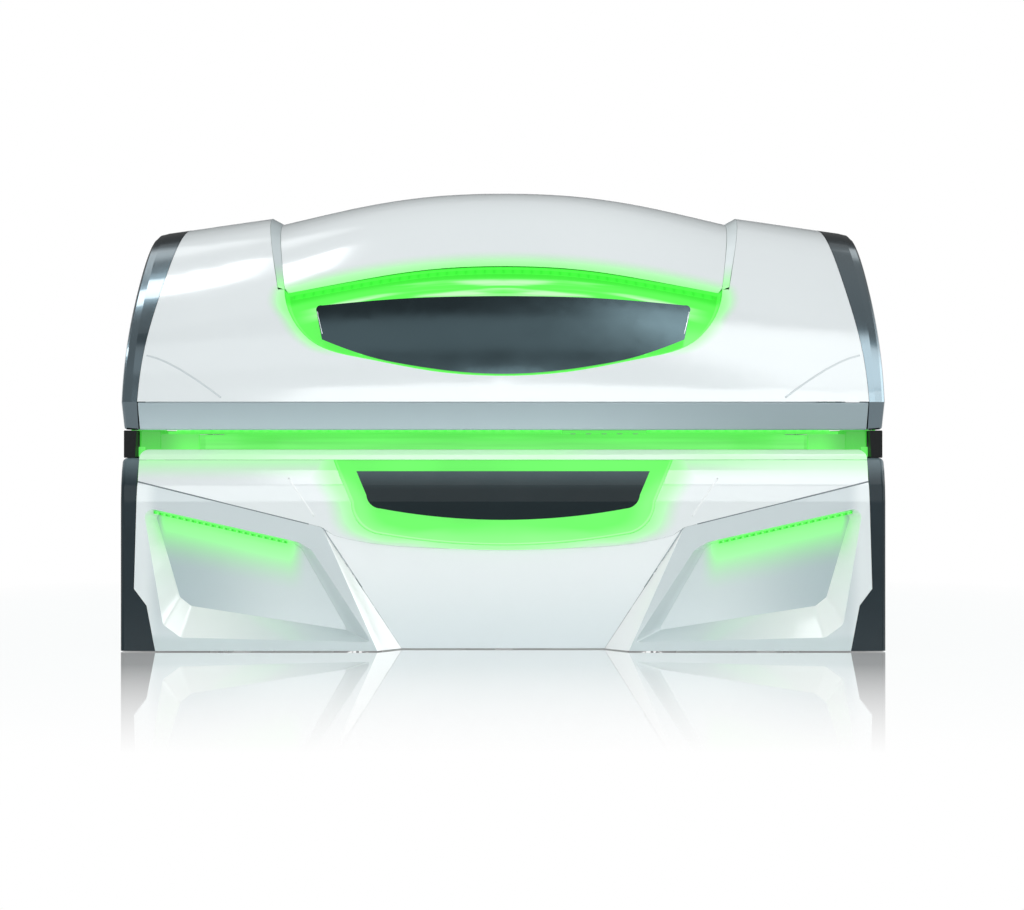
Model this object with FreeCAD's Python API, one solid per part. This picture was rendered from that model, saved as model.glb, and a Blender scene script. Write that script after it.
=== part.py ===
"""Clamshell tanning bed: a lying bench under a hinged canopy, both lined with low-pressure tubes.

Frame: origin at the middle of the footprint on the floor, +X along the bed, -Y the boarding side,
+Z up, millimetres.  The canopy is modelled closed.
"""
import FreeCAD, Part
import math
import os

V = FreeCAD.Vector
OUT = "parts"
os.makedirs(OUT, exist_ok=True)

# ---------------------------------------------------------------- driving dimensions (mm)
HALF_LENGTH = 1160.0        # end cap outer faces
FRONT_Y = -675.0            # boarding-side plane of the bench
REAR_Y = 675.0              # canopy skirt, rearmost
END_CAP = 53.0              # how much of the bench front each dark end cap covers
SKIN = 5.0                  # thermoformed panel wall
SEAM = 1.0                  # shadow gap between neighbouring panels
FIT = 0.3                   # gap between pieces that lie against each other
CAP_WALL = 5.0              # end cap wall

RAIL_TOP = 757.0            # grip rail meets the canopy shell
RAIL_BOTTOM = 672.0         # underside of the closed canopy
RAIL_LEAN = 33.0            # the rail's lower edge sits this far behind its upper edge
CROWN_END = 1345.0          # canopy crown height at the end faces
SHOULDER = 400.0            # length of the straight shoulders; the middle is a parabola
SHOULDER_SLOPE = 0.142      # crown rise per mm toward the middle, over the shoulders
CROWN_BULGE = 54.0          # parabola height of the main shell
CENTRE_RISE = 35.0          # the centre panel's edges are this much above the end crown
CENTRE_BULGE = 104.0        # parabola height of the centre panel
CENTRE_X = 743.0            # half length of the centre panel at the crown
CENTRE_REAR = 500.0         # the centre panel's rear edge

TUNNEL_Y = -60.0            # middle of the lying tunnel
TUNNEL_HALF = 500.0         # half width of both acrylics
BENCH_EDGE = 587.0          # bench acrylic edge height
BENCH_DIP = 155.0           # how far the lying surface dips
ARCH_EDGE = 690.0           # canopy acrylic edge height
ARCH_RISE = 310.0           # canopy acrylic arch rise
ACRYLIC = 5.0
END_ROOM = 120.0            # end face to the plates that carry the lampholders
PLATE_T = 3.0

TUBE_R = 19.0               # T12 tube
TUBE_SIDES = 16             # flats drawn on each lamp tube
TUBE_GAP = 16.0             # acrylic to tube
HOLDER_LENGTH = 40.0        # lampholder and pins between tube and end plate
BENCH_TUBES = 18
CANOPY_TUBES = 20
REFLECTOR_T = 1.5

HINGE_Y = 575.0             # canopy hinge axis
HINGE_Z = 690.0
HINGE_IN = 280.0            # hinge plane, from the end face
PIN_R = 8.0
PIN_PLAY = 0.05             # radial play of every running bore
SPRING_IN = 75.0            # gas spring plane, from the end face
SPRING_BASE = (470.0, 300.0)
SPRING_TOP = (485.0, 790.0)
SPRING_PLAY = 6.0           # lost-motion play in the canopy eye

BENCH_REAR = 540.0          # rear panel outer face
RIM_Z = 581.0               # parting line between fascia and rim
RIM_TOP = 613.0
INTAKE_DEPTH = 56.0         # how deep the lit intake channel is
POCKET_DEPTH = 62.0         # how deep the lit wing pockets are
TOE_IN = 70.0               # how far the kick panel leans back at the floor

FAN_X = 550.0
FAN_Z = 215.0
FAN_R = 82.0
GLAND_IN = 180.0            # mains cable gland, from the end face
GLAND_Z = 90.0
GLAND_BORE = 8.0
BUTTON_X = (215.0, 263.0, 311.0, 359.0, 407.0)
BUTTON_HALF = 8.0           # half width of a square push button
BUTTON_Y = -580.0

# Planes worked out from the driving dimensions.
BENCH_HALF_X = HALF_LENGTH - END_CAP
PANEL_HALF = BENCH_HALF_X - 0.6 * SEAM
PLATE_X = HALF_LENGTH - END_ROOM
FRAME_HALF = PLATE_X - FIT
ACRYLIC_HALF = PLATE_X - 4.0
TUBE_HALF = PLATE_X - HOLDER_LENGTH
HINGE_X = HALF_LENGTH - HINGE_IN
SPRING_X = HALF_LENGTH - SPRING_IN
SHOULDER_X = HALF_LENGTH - SHOULDER
BEYOND = HALF_LENGTH + 50.0  # clear past both ends, for cutting shapes


# ---------------------------------------------------------------- helpers
def box(x0, y0, z0, x1, y1, z1):
    """Axis-aligned block between two corners."""
    return Part.makeBox(x1 - x0, y1 - y0, z1 - z0, V(x0, y0, z0))


def rod(base, axis, radius, length):
    """Cylinder from a base point along an axis."""
    return Part.makeCylinder(radius, length, V(*base), V(*axis))


def bar(base, axis, radius, length, sides):
    """Regular many-sided bar along X, Y or Z: a nut, a bolt head, a spacer or a plainly drawn tube."""
    along_axis = V(*axis)
    side = V(axis[1], axis[2], axis[0])
    up = along_axis.cross(side)
    ring = []
    for i in range(sides):
        turn = 2 * math.pi * i / sides
        ring.append(V(*base) + side * (radius * math.cos(turn)) + up * (radius * math.sin(turn)))
    return Part.Face(Part.makePolygon(ring + ring[:1])).extrude(along_axis * length)


def yz(x, p):
    """Point of a side view."""
    return V(x, p[0], p[1])


def xz(y, p):
    """Point of a front view."""
    return V(p[0], y, p[1])


def corner(points, i, radius):
    """Tangent points and arc middle of a rounded polygon corner."""
    p = points[i]
    a = points[i - 1]
    b = points[(i + 1) % len(points)]
    u = (a[0] - p[0], a[1] - p[1])
    w = (b[0] - p[0], b[1] - p[1])
    lu = math.hypot(*u)
    lw = math.hypot(*w)
    u = (u[0] / lu, u[1] / lu)
    w = (w[0] / lw, w[1] / lw)
    dot = max(-1.0, min(1.0, u[0] * w[0] + u[1] * w[1]))
    half = math.acos(dot) / 2
    reach = radius / math.tan(half)
    start = (p[0] + u[0] * reach, p[1] + u[1] * reach)
    end = (p[0] + w[0] * reach, p[1] + w[1] * reach)
    bis = (u[0] + w[0], u[1] + w[1])
    lb = math.hypot(*bis)
    far = radius / math.sin(half) - radius
    middle = (p[0] + bis[0] / lb * far, p[1] + bis[1] / lb * far)
    return start, middle, end


def wire(points, place, at, radii=0.0):
    """Closed wire of a polygon, each corner rounded by its own radius."""
    if not isinstance(radii, (list, tuple)):
        radii = [radii] * len(points)
    stops = []
    for i, radius in enumerate(radii):
        if radius > 0:
            stops.append(corner(points, i, radius))
        else:
            stops.append((points[i], None, points[i]))
    edges = []
    for i, (start, middle, end) in enumerate(stops):
        if middle is not None:
            arc = Part.Arc(place(at, start), place(at, middle), place(at, end))
            edges.append(arc.toShape())
        following = stops[(i + 1) % len(stops)][0]
        edges.append(Part.makeLine(place(at, end), place(at, following)))
    return Part.Wire(edges)


def prism_x(points, x0, x1, radii=0.0):
    """Side-view polygon extruded along the bed."""
    face = Part.Face(wire(points, yz, x0, radii))
    return face.extrude(V(x1 - x0, 0, 0))


def prism_y(points, y0, y1, radii=0.0):
    """Front-view polygon extruded front to back."""
    face = Part.Face(wire(points, xz, y0, radii))
    return face.extrude(V(0, y1 - y0, 0))


def smooth_wire(points, corners, place, at):
    """Closed wire with the given corners: a line, an arc or a spline runs from each to the next."""
    edges = []
    count = len(points)
    for i, first in enumerate(corners):
        last = corners[i + 1] if i + 1 < len(corners) else corners[0] + count
        run = [place(at, points[k % count]) for k in range(first, last + 1)]
        if len(run) == 2:
            edges.append(Part.makeLine(run[0], run[1]))
        elif len(run) == 3:
            edges.append(Part.Arc(run[0], run[1], run[2]).toShape())
        else:
            spline = Part.BSplineCurve()
            spline.interpolate(run)
            edges.append(spline.toShape())
    return Part.Wire(edges)


def smooth_prism(points, corners, y0, y1):
    """Front-view outline with curved runs, extruded front to back."""
    return Part.Face(smooth_wire(points, corners, xz, y0)).extrude(V(0, y1 - y0, 0))


def flip(shape):
    """Mirror image on the other side of the bed."""
    return shape.mirror(V(0, 0, 0), V(1, 0, 0))


def both(shape):
    """A piece and its mirror image."""
    return [shape, flip(shape)]


def fuse(shapes):
    """One solid from several."""
    result = shapes[0].multiFuse(shapes[1:]) if len(shapes) > 1 else shapes[0]
    return result.removeSplitter()


def mirrored(points):
    """Close a half outline given from left to middle into a whole one."""
    right = [(-x, z) for x, z in reversed(points) if x < 0]
    return points + right


def both_ends(corners, points):
    """Corner numbers of a half outline, and of its mirror image."""
    last = 2 * len(points) - 2 if points[-1][0] == 0 else 2 * len(points) - 1
    return corners + [last - i for i in reversed(corners)]


def inset(points, distance):
    """Polygon moved inward by a distance (outward if negative)."""
    area = 0.0
    count = len(points)
    for i in range(count):
        a = points[i]
        b = points[(i + 1) % count]
        area += a[0] * b[1] - b[0] * a[1]
    turn = 1.0 if area > 0 else -1.0
    result = []
    for i in range(count):
        a = points[i - 1]
        p = points[i]
        b = points[(i + 1) % count]
        u = (p[0] - a[0], p[1] - a[1])
        w = (b[0] - p[0], b[1] - p[1])
        lu = math.hypot(*u)
        lw = math.hypot(*w)
        n1 = (-u[1] / lu * turn, u[0] / lu * turn)
        n2 = (-w[1] / lw * turn, w[0] / lw * turn)
        s = 1.0 + n1[0] * n2[0] + n1[1] * n2[1]
        result.append((p[0] + distance * (n1[0] + n2[0]) / s, p[1] + distance * (n1[1] + n2[1]) / s))
    return result


def save(name, shapes):
    """Write one node."""
    if not isinstance(shapes, list):
        shapes = [shapes]
    solids = []
    for shape in shapes:
        solids.extend(shape.Solids)
    Part.makeCompound(solids).exportStep(OUT + "/" + name + ".step")
    print(name, len(solids), "solids")


# ---------------------------------------------------------------- canopy surfaces
# Side profile over the crown to the rear skirt: depth, and height as a share of rail to crown.
PROFILE = [(FRONT_Y + 13.0, 0.0), (-596.0, 0.298), (-430.0, 0.645), (-215.0, 0.923), (-60.0, 1.0),
           (120.0, 0.976), (340.0, 0.833), (572.0, 0.464), (REAR_Y - 7.0, 0.0)]
RAIL_Y = PROFILE[0][0]


def crown(x):
    """Crown height of the main shell."""
    a = abs(x)
    if a > SHOULDER_X:
        return CROWN_END + (HALF_LENGTH - a) * SHOULDER_SLOPE
    shoulder = CROWN_END + SHOULDER * SHOULDER_SLOPE
    return shoulder + CROWN_BULGE * (1 - (a / SHOULDER_X) ** 2)


def centre_crown(x):
    """Crown height of the arched centre panel."""
    a = min(abs(x) / CENTRE_X, 1.15)
    return CROWN_END + CENTRE_RISE + CENTRE_BULGE * (1 - a ** 2)


def section(x, height, depth=0.0):
    """Profile points at a station, moved inward by a depth."""
    rise = height(x) - RAIL_TOP
    points = [(y, RAIL_TOP + rise * share) for y, share in PROFILE] + [(REAR_Y, RAIL_BOTTOM)]
    moved = []
    for i, (y, z) in enumerate(points):
        a = points[max(i - 1, 0)]
        b = points[min(i + 1, len(points) - 1)]
        t = (b[0] - a[0], b[1] - a[1])
        n = math.hypot(*t)
        moved.append((y + t[1] / n * depth, z - t[0] / n * depth))
    moved[0] = (points[0][0] + depth, points[0][1])
    moved[-1] = (points[-1][0] - depth, points[-1][1])
    return moved


def chords(points):
    """Running chord length along a row of points."""
    run = [0.0]
    for a, b in zip(points, points[1:]):
        run.append(run[-1] + math.dist(a, b))
    return run


# All sections share these curve parameters, so that the surfaces lofted through them stay simple.
PARAMETERS = chords(section(HALF_LENGTH, crown))


def over_crown(points):
    """Curve through the points of one section."""
    spline = Part.BSplineCurve()
    spline.interpolate(Points=points, Parameters=PARAMETERS)
    return spline


def profile_spline(x, height, depth):
    """Curve over the crown at a station."""
    return over_crown([yz(x, p) for p in section(x, height, depth)])


def section_wire(x, height, depth=0.0, low=RAIL_BOTTOM):
    """Closed section: spline over the crown, then the underside and the rail front."""
    spline = profile_spline(x, height, depth)
    front = V(x, RAIL_Y + RAIL_LEAN + depth, low)
    back = V(x, REAR_Y - depth, low)
    edges = [spline.toShape()]
    if low < RAIL_BOTTOM:
        edges.append(Part.makeLine(spline.EndPoint, back))
    edges.append(Part.makeLine(back, front))
    edges.append(Part.makeLine(front, spline.StartPoint))
    return Part.Wire(edges)


OVERRUN = 10.0              # the surfaces run this far past the end faces
MIDDLE_STRIPS = 4           # strips on each side of the middle, on the hidden surfaces


def stations(strips):
    """Section places along the bed: the ends, the shoulders and an even number between them."""
    half = [SHOULDER_X * i / strips for i in range(1, strips + 1)] + [HALF_LENGTH + OVERRUN]
    return [-x for x in reversed(half)] + [0.0] + half


def envelope(height, depth=0.0):
    """Volume under the canopy surface.

    The outer one is smooth in both directions. An inner one is moved inward by a depth, reaches below
    the rail and is ruled from section to section.
    """
    if depth == 0:
        return Part.makeLoft([section_wire(x, height) for x in stations(2)], True, False)
    low = RAIL_BOTTOM - 60.0
    wires = [section_wire(x, height, depth, low) for x in stations(MIDDLE_STRIPS)]
    return Part.makeLoft(wires, True, True)


FLANGE_DEPTH = 45.0         # rear return flanges of shell and centre panel
CHANNEL_WALL = 3.0
outer = envelope(crown)
inner = envelope(crown, SKIN)
deep = envelope(crown, INTAKE_DEPTH)
deeper = envelope(crown, INTAKE_DEPTH + CHANNEL_WALL)
shell_deep = envelope(crown, FLANGE_DEPTH)
centre_outer = envelope(centre_crown)
centre_inner = envelope(centre_crown, SKIN)
centre_deep = envelope(centre_crown, FLANGE_DEPTH - SKIN)

# Boundary between the white shell and the dark end caps: distance from the end face, and height.
BAND = [(47.0, 600.0), (50.0, RAIL_TOP), (58.0, 905.0), (77.0, 1084.0), (98.0, 1300.0), (108.0, 1420.0),
        (122.0, 1700.0)]
CUT_FRONT = FRONT_Y - 45.0  # clear of the bed's front and rear, for cutting shapes
CUT_REAR = REAR_Y + 45.0


def band_prism(gap):
    """Everything between the two end boundaries, reaching a gap past them."""
    half = [(-HALF_LENGTH + d - gap, z) for d, z in BAND]
    points = half + [(-x, z) for x, z in reversed(half)]
    last = len(BAND) - 1
    return smooth_prism(points, [0, last, last + 1, 2 * last + 1], CUT_FRONT, CUT_REAR)


# Front-view outlines (left half, from the outer top down to the middle).
OPENING_LOW = [(-688.0, 1116.0), (-646.0, 1006.0), (-573.0, 935.0), (-430.0, 892.0), (-225.0, 853.0),
               (0.0, 837.0)]
OPENING_TOP = [(-674.0, 1103.0), (-557.0, 1126.0), (-454.0, 1146.0), (-266.0, 1177.0), (0.0, 1192.0)]
NOTCH_OUTER = ((-718.0, 1150.0), (-783.0, 1396.0))
NOTCH_INNER = ((-694.0, 1145.0), (-746.0, 1380.0))
ABOVE = CROWN_END + 260.0   # clear over the crown, for cutting shapes


def along(line, z):
    """X of a slanting front-view line at a height."""
    (x0, z0), (x1, z1) = line
    return x0 + (x1 - x0) * (z - z0) / (z1 - z0)


def loop(low, high):
    """Closed outline between a lower and an upper half curve, with its corner numbers."""
    bottom = mirrored(low)
    top = mirrored(high)[::-1]
    count = len(bottom)
    return bottom + top, [0, count - 1, count, count + len(top) - 1]


cut_half = [(along(NOTCH_OUTER, ABOVE), ABOVE), (along(NOTCH_OUTER, OPENING_LOW[0][1]), OPENING_LOW[0][1])]
cut_half = cut_half + OPENING_LOW
centre_cut = smooth_prism(mirrored(cut_half), both_ends([0, 1, 2], cut_half), CUT_FRONT, CENTRE_REAR)

rail_zone = box(-BEYOND, CUT_FRONT, 600.0, BEYOND, -500.0, RAIL_TOP + SEAM)
main_shell = outer.cut(inner)
main_shell = main_shell.common(band_prism(0.0))
main_shell = main_shell.cut(rail_zone).cut(centre_cut)
FLANGE_HALF = 735.0
rear_flange = outer.common(box(-FLANGE_HALF, CENTRE_REAR, 900.0, FLANGE_HALF, CENTRE_REAR + SKIN, ABOVE))
main_shell = fuse([main_shell, rear_flange.cut(shell_deep)])
save("canopy_shell", main_shell)

# Arched centre panel with its rear return flange.
PANEL_REAR = CENTRE_REAR - SEAM / 2
panel_half = [(along(NOTCH_INNER, ABOVE), ABOVE), (along(NOTCH_INNER, 1120.0), 1120.0)]
panel_half = panel_half + [(x, z + SEAM) for x, z in OPENING_TOP]
panel_window = smooth_prism(mirrored(panel_half), both_ends([0, 1, 2], panel_half), CUT_FRONT, PANEL_REAR)
centre_panel = centre_outer.cut(centre_inner).common(panel_window)
centre_flange = centre_outer.common(box(35.0 - FLANGE_HALF, PANEL_REAR - SKIN, 900.0, FLANGE_HALF - 35.0,
                                        PANEL_REAR, ABOVE))
centre_panel = fuse([centre_panel, centre_flange.cut(centre_deep)])
save("canopy_centre_panel", centre_panel)


def surface_point(height, line, y, depth):
    """Point at a given depth y where a slanting front-view line lies on a canopy surface."""
    z = line[0][1]
    for _ in range(8):
        spline = profile_spline(along(line, z), height, depth)
        low = spline.FirstParameter
        high = spline.LastParameter
        for _ in range(24):
            middle = (low + high) / 2
            if spline.value(middle).y < y:
                low = middle
            else:
                high = middle
        z = spline.value(low).z
    return V(along(line, z), y, z)


# Slanted shadow-line trims that step down from the shell to the centre panel.
TRIM_FROM = -470.0
TRIM_TO = 488.0
TRIM_SECTIONS = 10
sections = []
for i in range(TRIM_SECTIONS):
    y = TRIM_FROM + (TRIM_TO - TRIM_FROM) * i / (TRIM_SECTIONS - 1)
    a = surface_point(crown, NOTCH_OUTER, y, 0.0) + V(SEAM, 0, 0)
    b = surface_point(centre_crown, NOTCH_INNER, y, 0.0) - V(SEAM, 0, 0)
    wall = surface_point(centre_crown, NOTCH_INNER, y, SKIN) - b - V(SEAM, 0, 0)
    sections.append(Part.makePolygon([a, b, b + wall, a + wall, a]))
notch_trim = Part.makeLoft(sections, True, False)
save("canopy_notch_trims", both(notch_trim))

# Intake scoop: lit channel, light guide and the dark deflector plate standing in it.
opening_full, opening_corners = loop(OPENING_LOW, OPENING_TOP)
SCOOP_REAR = -300.0
tray_body = smooth_prism(inset(opening_full, SEAM / 2), opening_corners, CUT_FRONT, SCOOP_REAR)
tray_inside = inset(opening_full, SEAM / 2 + CHANNEL_WALL)
tray_hollow = smooth_prism(tray_inside, opening_corners, CUT_FRONT, SCOOP_REAR)
tray = tray_body.common(outer).cut(deeper).cut(tray_hollow.cut(deep))
PLATE_LOW = [(-578.0, 1036.0), (-556.0, 948.5), (-478.0, 918.5), (-390.0, 891.0), (-288.0, 870.5),
             (-134.0, 849.5), (0.0, 843.0)]
PLATE_CORNER = (-577.0, 1050.5)
PLATE_HIGH = [(-563.0, 1055.0), (-427.0, 1068.0), (-271.0, 1079.0), (-117.0, 1083.5), (0.0, 1084.5)]
PLATE_TILT = 3.0
PLATE_FOOT = (-640.0, 855.0)
DEFLECTOR_T = 6.0
bottom = mirrored(PLATE_LOW)
top = mirrored(PLATE_HIGH)[::-1]
count = len(bottom)
plate_full = bottom + [(-PLATE_CORNER[0], PLATE_CORNER[1])] + top + [PLATE_CORNER]
plate_corners = [0, 1, count - 2, count - 1, count + 1, count + len(top)]
plate_prism = smooth_prism(plate_full, plate_corners, CUT_FRONT, SCOOP_REAR)
deflector = outer.cut(envelope(crown, DEFLECTOR_T)).common(plate_prism)
deflector.rotate(V(0, *PLATE_FOOT), V(1, 0, 0), PLATE_TILT)
lowered = deflector.copy()
lowered.translate(V(0, FIT, -FIT / 2))
web_zone = outer.cut(deeper).cut(deflector).cut(lowered)
WEB_X = (-440.0, -150.0, 150.0, 440.0)
WEB_Z = (905.0, 985.0)
webs = []
for x in WEB_X:
    web = web_zone.common(box(x - 3.0, CUT_FRONT, WEB_Z[0], x + 3.0, -400.0, WEB_Z[1]))
    webs.append(max(web.Solids, key=lambda solid: solid.Volume))
plate_room = smooth_prism(inset(plate_full, -FIT), plate_corners, CUT_FRONT, SCOOP_REAR)
save("intake_channel", tray.cut(plate_room.cut(deep)).multiFuse(webs))
save("intake_deflector", deflector)
GUIDE_NARROW = 0.985
guide_band = [(x * GUIDE_NARROW, z - 4.0) for x, z in OPENING_TOP]
guide_low = [(x * GUIDE_NARROW, z - 17.0) for x, z in OPENING_TOP]
guide_full, guide_corners = loop(guide_low, guide_band)
guide = envelope(crown, 36.0).cut(envelope(crown, 46.0))
save("intake_light_guide", guide.common(smooth_prism(guide_full, guide_corners, CUT_FRONT, SCOOP_REAR)))

# ---------------------------------------------------------------- tunnel geometry
ARCH_R = (TUNNEL_HALF ** 2 + ARCH_RISE ** 2) / (2 * ARCH_RISE)
ARCH_Z = ARCH_EDGE + ARCH_RISE - ARCH_R
BENCH_R = (TUNNEL_HALF ** 2 + BENCH_DIP ** 2) / (2 * BENCH_DIP)
BENCH_Z = BENCH_EDGE - BENCH_DIP + BENCH_R
ARCH_HALF = math.asin(TUNNEL_HALF / ARCH_R)
BENCH_HALF = math.asin(TUNNEL_HALF / BENCH_R)


def arc_sheet(centre_z, r0, r1, half_angle, up, x0, x1):
    """Curved sheet between two radii about the tunnel axis."""
    s = 1.0 if up else -1.0

    def at(r, angle):
        return V(x0, TUNNEL_Y + r * math.sin(angle), centre_z + s * r * math.cos(angle))

    inner_arc = Part.Arc(at(r0, -half_angle), at(r0, 0), at(r0, half_angle)).toShape()
    outer_arc = Part.Arc(at(r1, half_angle), at(r1, 0), at(r1, -half_angle)).toShape()
    ends = [Part.makeLine(at(r0, half_angle), at(r1, half_angle)),
            Part.makeLine(at(r1, -half_angle), at(r0, -half_angle))]
    face = Part.Face(Part.Wire([inner_arc, ends[0], outer_arc, ends[1]]))
    return face.extrude(V(x1 - x0, 0, 0))


canopy_acrylic = arc_sheet(ARCH_Z, ARCH_R, ARCH_R + ACRYLIC, ARCH_HALF, True, -ACRYLIC_HALF, ACRYLIC_HALF)
bench_acrylic = arc_sheet(BENCH_Z, BENCH_R, BENCH_R + ACRYLIC, BENCH_HALF, False,
                          -ACRYLIC_HALF, ACRYLIC_HALF)
save("canopy_acrylic", canopy_acrylic)
save("bench_acrylic", bench_acrylic)

CANOPY_TUBE_R = ARCH_R + ACRYLIC + TUBE_GAP + TUBE_R
BENCH_TUBE_R = BENCH_R + ACRYLIC + TUBE_GAP + TUBE_R
CANOPY_SPREAD = math.radians(57.3)
BENCH_SPREAD = math.radians(30.5)
HOLDER_W = 26.0
HOLDER_BACK = 23.0
HOLDER_FRONT = 13.0


def tube_ring(count, spread, radius, centre_z, up):
    """Lamp tubes and lampholders along an arc."""
    s = 1.0 if up else -1.0
    tubes = []
    holders = []
    for i in range(count):
        angle = -spread + 2 * spread * i / (count - 1)
        y = TUNNEL_Y + radius * math.sin(angle)
        z = centre_z + s * radius * math.cos(angle)
        tubes.append(bar((-TUBE_HALF, y, z), (1, 0, 0), TUBE_R, 2 * TUBE_HALF, TUBE_SIDES))
        for side in (-1.0, 1.0):
            x0 = side * TUBE_HALF
            x1 = side * PLATE_X
            block = box(min(x0, x1) + FIT, y - HOLDER_W / 2, z - HOLDER_BACK,
                        max(x0, x1) - FIT, y + HOLDER_W / 2, z + HOLDER_FRONT)
            block.rotate(V(0, y, z), V(1, 0, 0), -s * math.degrees(angle))
            holders.append(block)
    return tubes, holders


canopy_tubes, canopy_holders = tube_ring(CANOPY_TUBES, CANOPY_SPREAD, CANOPY_TUBE_R, ARCH_Z, True)
bench_tubes, bench_holders = tube_ring(BENCH_TUBES, BENCH_SPREAD, BENCH_TUBE_R, BENCH_Z, False)
save("canopy_lamps", canopy_tubes)
save("canopy_lampholders", canopy_holders)
save("bench_lamps", bench_tubes)
save("bench_lampholders", bench_holders)

BEHIND_TUBES = 12.0
CANOPY_REF_R = CANOPY_TUBE_R + TUBE_R + BEHIND_TUBES
BENCH_REF_R = BENCH_TUBE_R + TUBE_R + BEHIND_TUBES
canopy_reflector = arc_sheet(ARCH_Z, CANOPY_REF_R, CANOPY_REF_R + REFLECTOR_T, math.radians(59.6), True,
                             -FRAME_HALF, FRAME_HALF)
bench_reflector = arc_sheet(BENCH_Z, BENCH_REF_R, BENCH_REF_R + REFLECTOR_T, math.radians(31.8), False,
                            -FRAME_HALF, FRAME_HALF)
save("canopy_reflector", canopy_reflector)
save("bench_reflector", bench_reflector)


def tunnel(centre_z, radius):
    """Cylinder about the tunnel axis, longer than the bed."""
    return rod((-BEYOND, TUNNEL_Y, centre_z), (1, 0, 0), radius, 2 * BEYOND)


# ---------------------------------------------------------------- canopy ends
# Each end cap is a hollow dish; its outer edge is rounded by insetting the last sections, which are
# given as distance from the end face and inset.
ROUND = ((130.0, 0.0), (32.0, 0.0), (10.0, 2.0), (3.0, 6.0), (0.0, 11.0))


def cap_loft(extra):
    """Rounded end volume, moved inward by a wall."""
    wires = []
    for back, depth in ROUND:
        x = HALF_LENGTH - back
        low = RAIL_BOTTOM + depth + extra
        points = section(x, crown, depth + extra)
        points[-1] = (REAR_Y - depth - extra, low)
        ends = [yz(x - extra, p) for p in points]
        spline = over_crown(ends)
        front = V(x - extra, RAIL_Y + RAIL_LEAN + (depth + extra) * 1.1, low)
        edges = [spline.toShape(), Part.makeLine(ends[-1], front), Part.makeLine(front, ends[0])]
        wires.append(Part.Wire(edges))
    return Part.makeLoft(wires, True, True)


SLOT_HALF = 18.0            # half width of the slots that the gas springs pass through
slot_top = box(SPRING_X - SLOT_HALF, 440.0, 640.0, SPRING_X + SLOT_HALF, 600.0, RAIL_BOTTOM + 40.0)
cap = cap_loft(0.0).cut(tunnel(ARCH_Z, ARCH_R)).cut(band_prism(SEAM))
cap = cap.cut(cap_loft(CAP_WALL).cut(tunnel(ARCH_Z, ARCH_R + CAP_WALL))).cut(slot_top)
save("canopy_end_cap_right", cap)
save("canopy_end_cap_left", flip(cap))

# End plates carry lampholders, acrylic, reflector and the shell.
PLATE_LOW_Z = RAIL_BOTTOM + 8.0
PLATE_ROOM = 0.9            # gap between an end plate's edge and the shell
plate_right = box(PLATE_X, FRONT_Y + 35.0, PLATE_LOW_Z, PLATE_X + PLATE_T, REAR_Y - 7.0, ABOVE)
plate_right = envelope(crown, SKIN + PLATE_ROOM).common(plate_right)
plate_right = plate_right.cut(tunnel(ARCH_Z, ARCH_R + ACRYLIC + SEAM))
plate_right = plate_right.cut(box(PLATE_X - 40.0, CUT_FRONT, 600.0, PLATE_X + 60.0, -597.0, RAIL_TOP))
save("canopy_end_plates", both(plate_right))

# Grip rail and inner trims.
RAIL_HALF = HALF_LENGTH - 51.5
RAIL_BACK = -600.0
RAIL = [(RAIL_Y + 0.4, RAIL_TOP - SEAM), (RAIL_Y + RAIL_LEAN - 0.2, RAIL_BOTTOM + 0.4),
        (RAIL_BACK, RAIL_BOTTOM + 0.4), (RAIL_BACK, RAIL_TOP - SEAM)]
RAIL_WALL = 4.0
rail = prism_x(RAIL, -RAIL_HALF, RAIL_HALF, [4.0, 10.0, 3.0, 3.0])
rail_bore = prism_x(inset(RAIL, RAIL_WALL), -BEYOND, BEYOND, [1.0, 6.0, 1.0, 1.0])
save("canopy_grip_rail", rail.cut(rail_bore))
TRIM_HALF = PLATE_X - 0.5
sheet_room = arc_sheet(ARCH_Z, ARCH_R - FIT, ARCH_R + ACRYLIC + FIT, ARCH_HALF + FIT / ARCH_R, True,
                       -PLATE_X, PLATE_X)
FRONT_TRIM = [(RAIL_BACK + 0.6, 672.6), (-555.0, 672.6), (-553.0, 692.0), (-563.0, 702.0), (-568.0, 700.0),
              (-561.5, 688.0), (-563.0, 677.0), (RAIL_BACK + 0.6, 677.0)]
save("canopy_front_trim", prism_x(FRONT_TRIM, -TRIM_HALF, TRIM_HALF).cut(sheet_room))
STRIP_ROOM = 30.0           # the gap's light strip ends this far inside the trim's ends
gap_strip = prism_x([(-560.4, 672.3), (-560.4, 669.5), (-559.0, 668.5), (-556.8, 668.5), (-555.4, 669.5),
                     (-555.4, 672.3)], -TRIM_HALF + STRIP_ROOM, TRIM_HALF - STRIP_ROOM)
save("canopy_gap_light_strip", gap_strip)
REAR_TRIM = [(435.0, 676.0), (548.0, 676.0), (548.0, 681.0), (446.0, 681.0), (443.5, 694.0),
             (437.0, 690.0)]
rear_trim = prism_x(REAR_TRIM, -TRIM_HALF, TRIM_HALF).cut(sheet_room)

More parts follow.
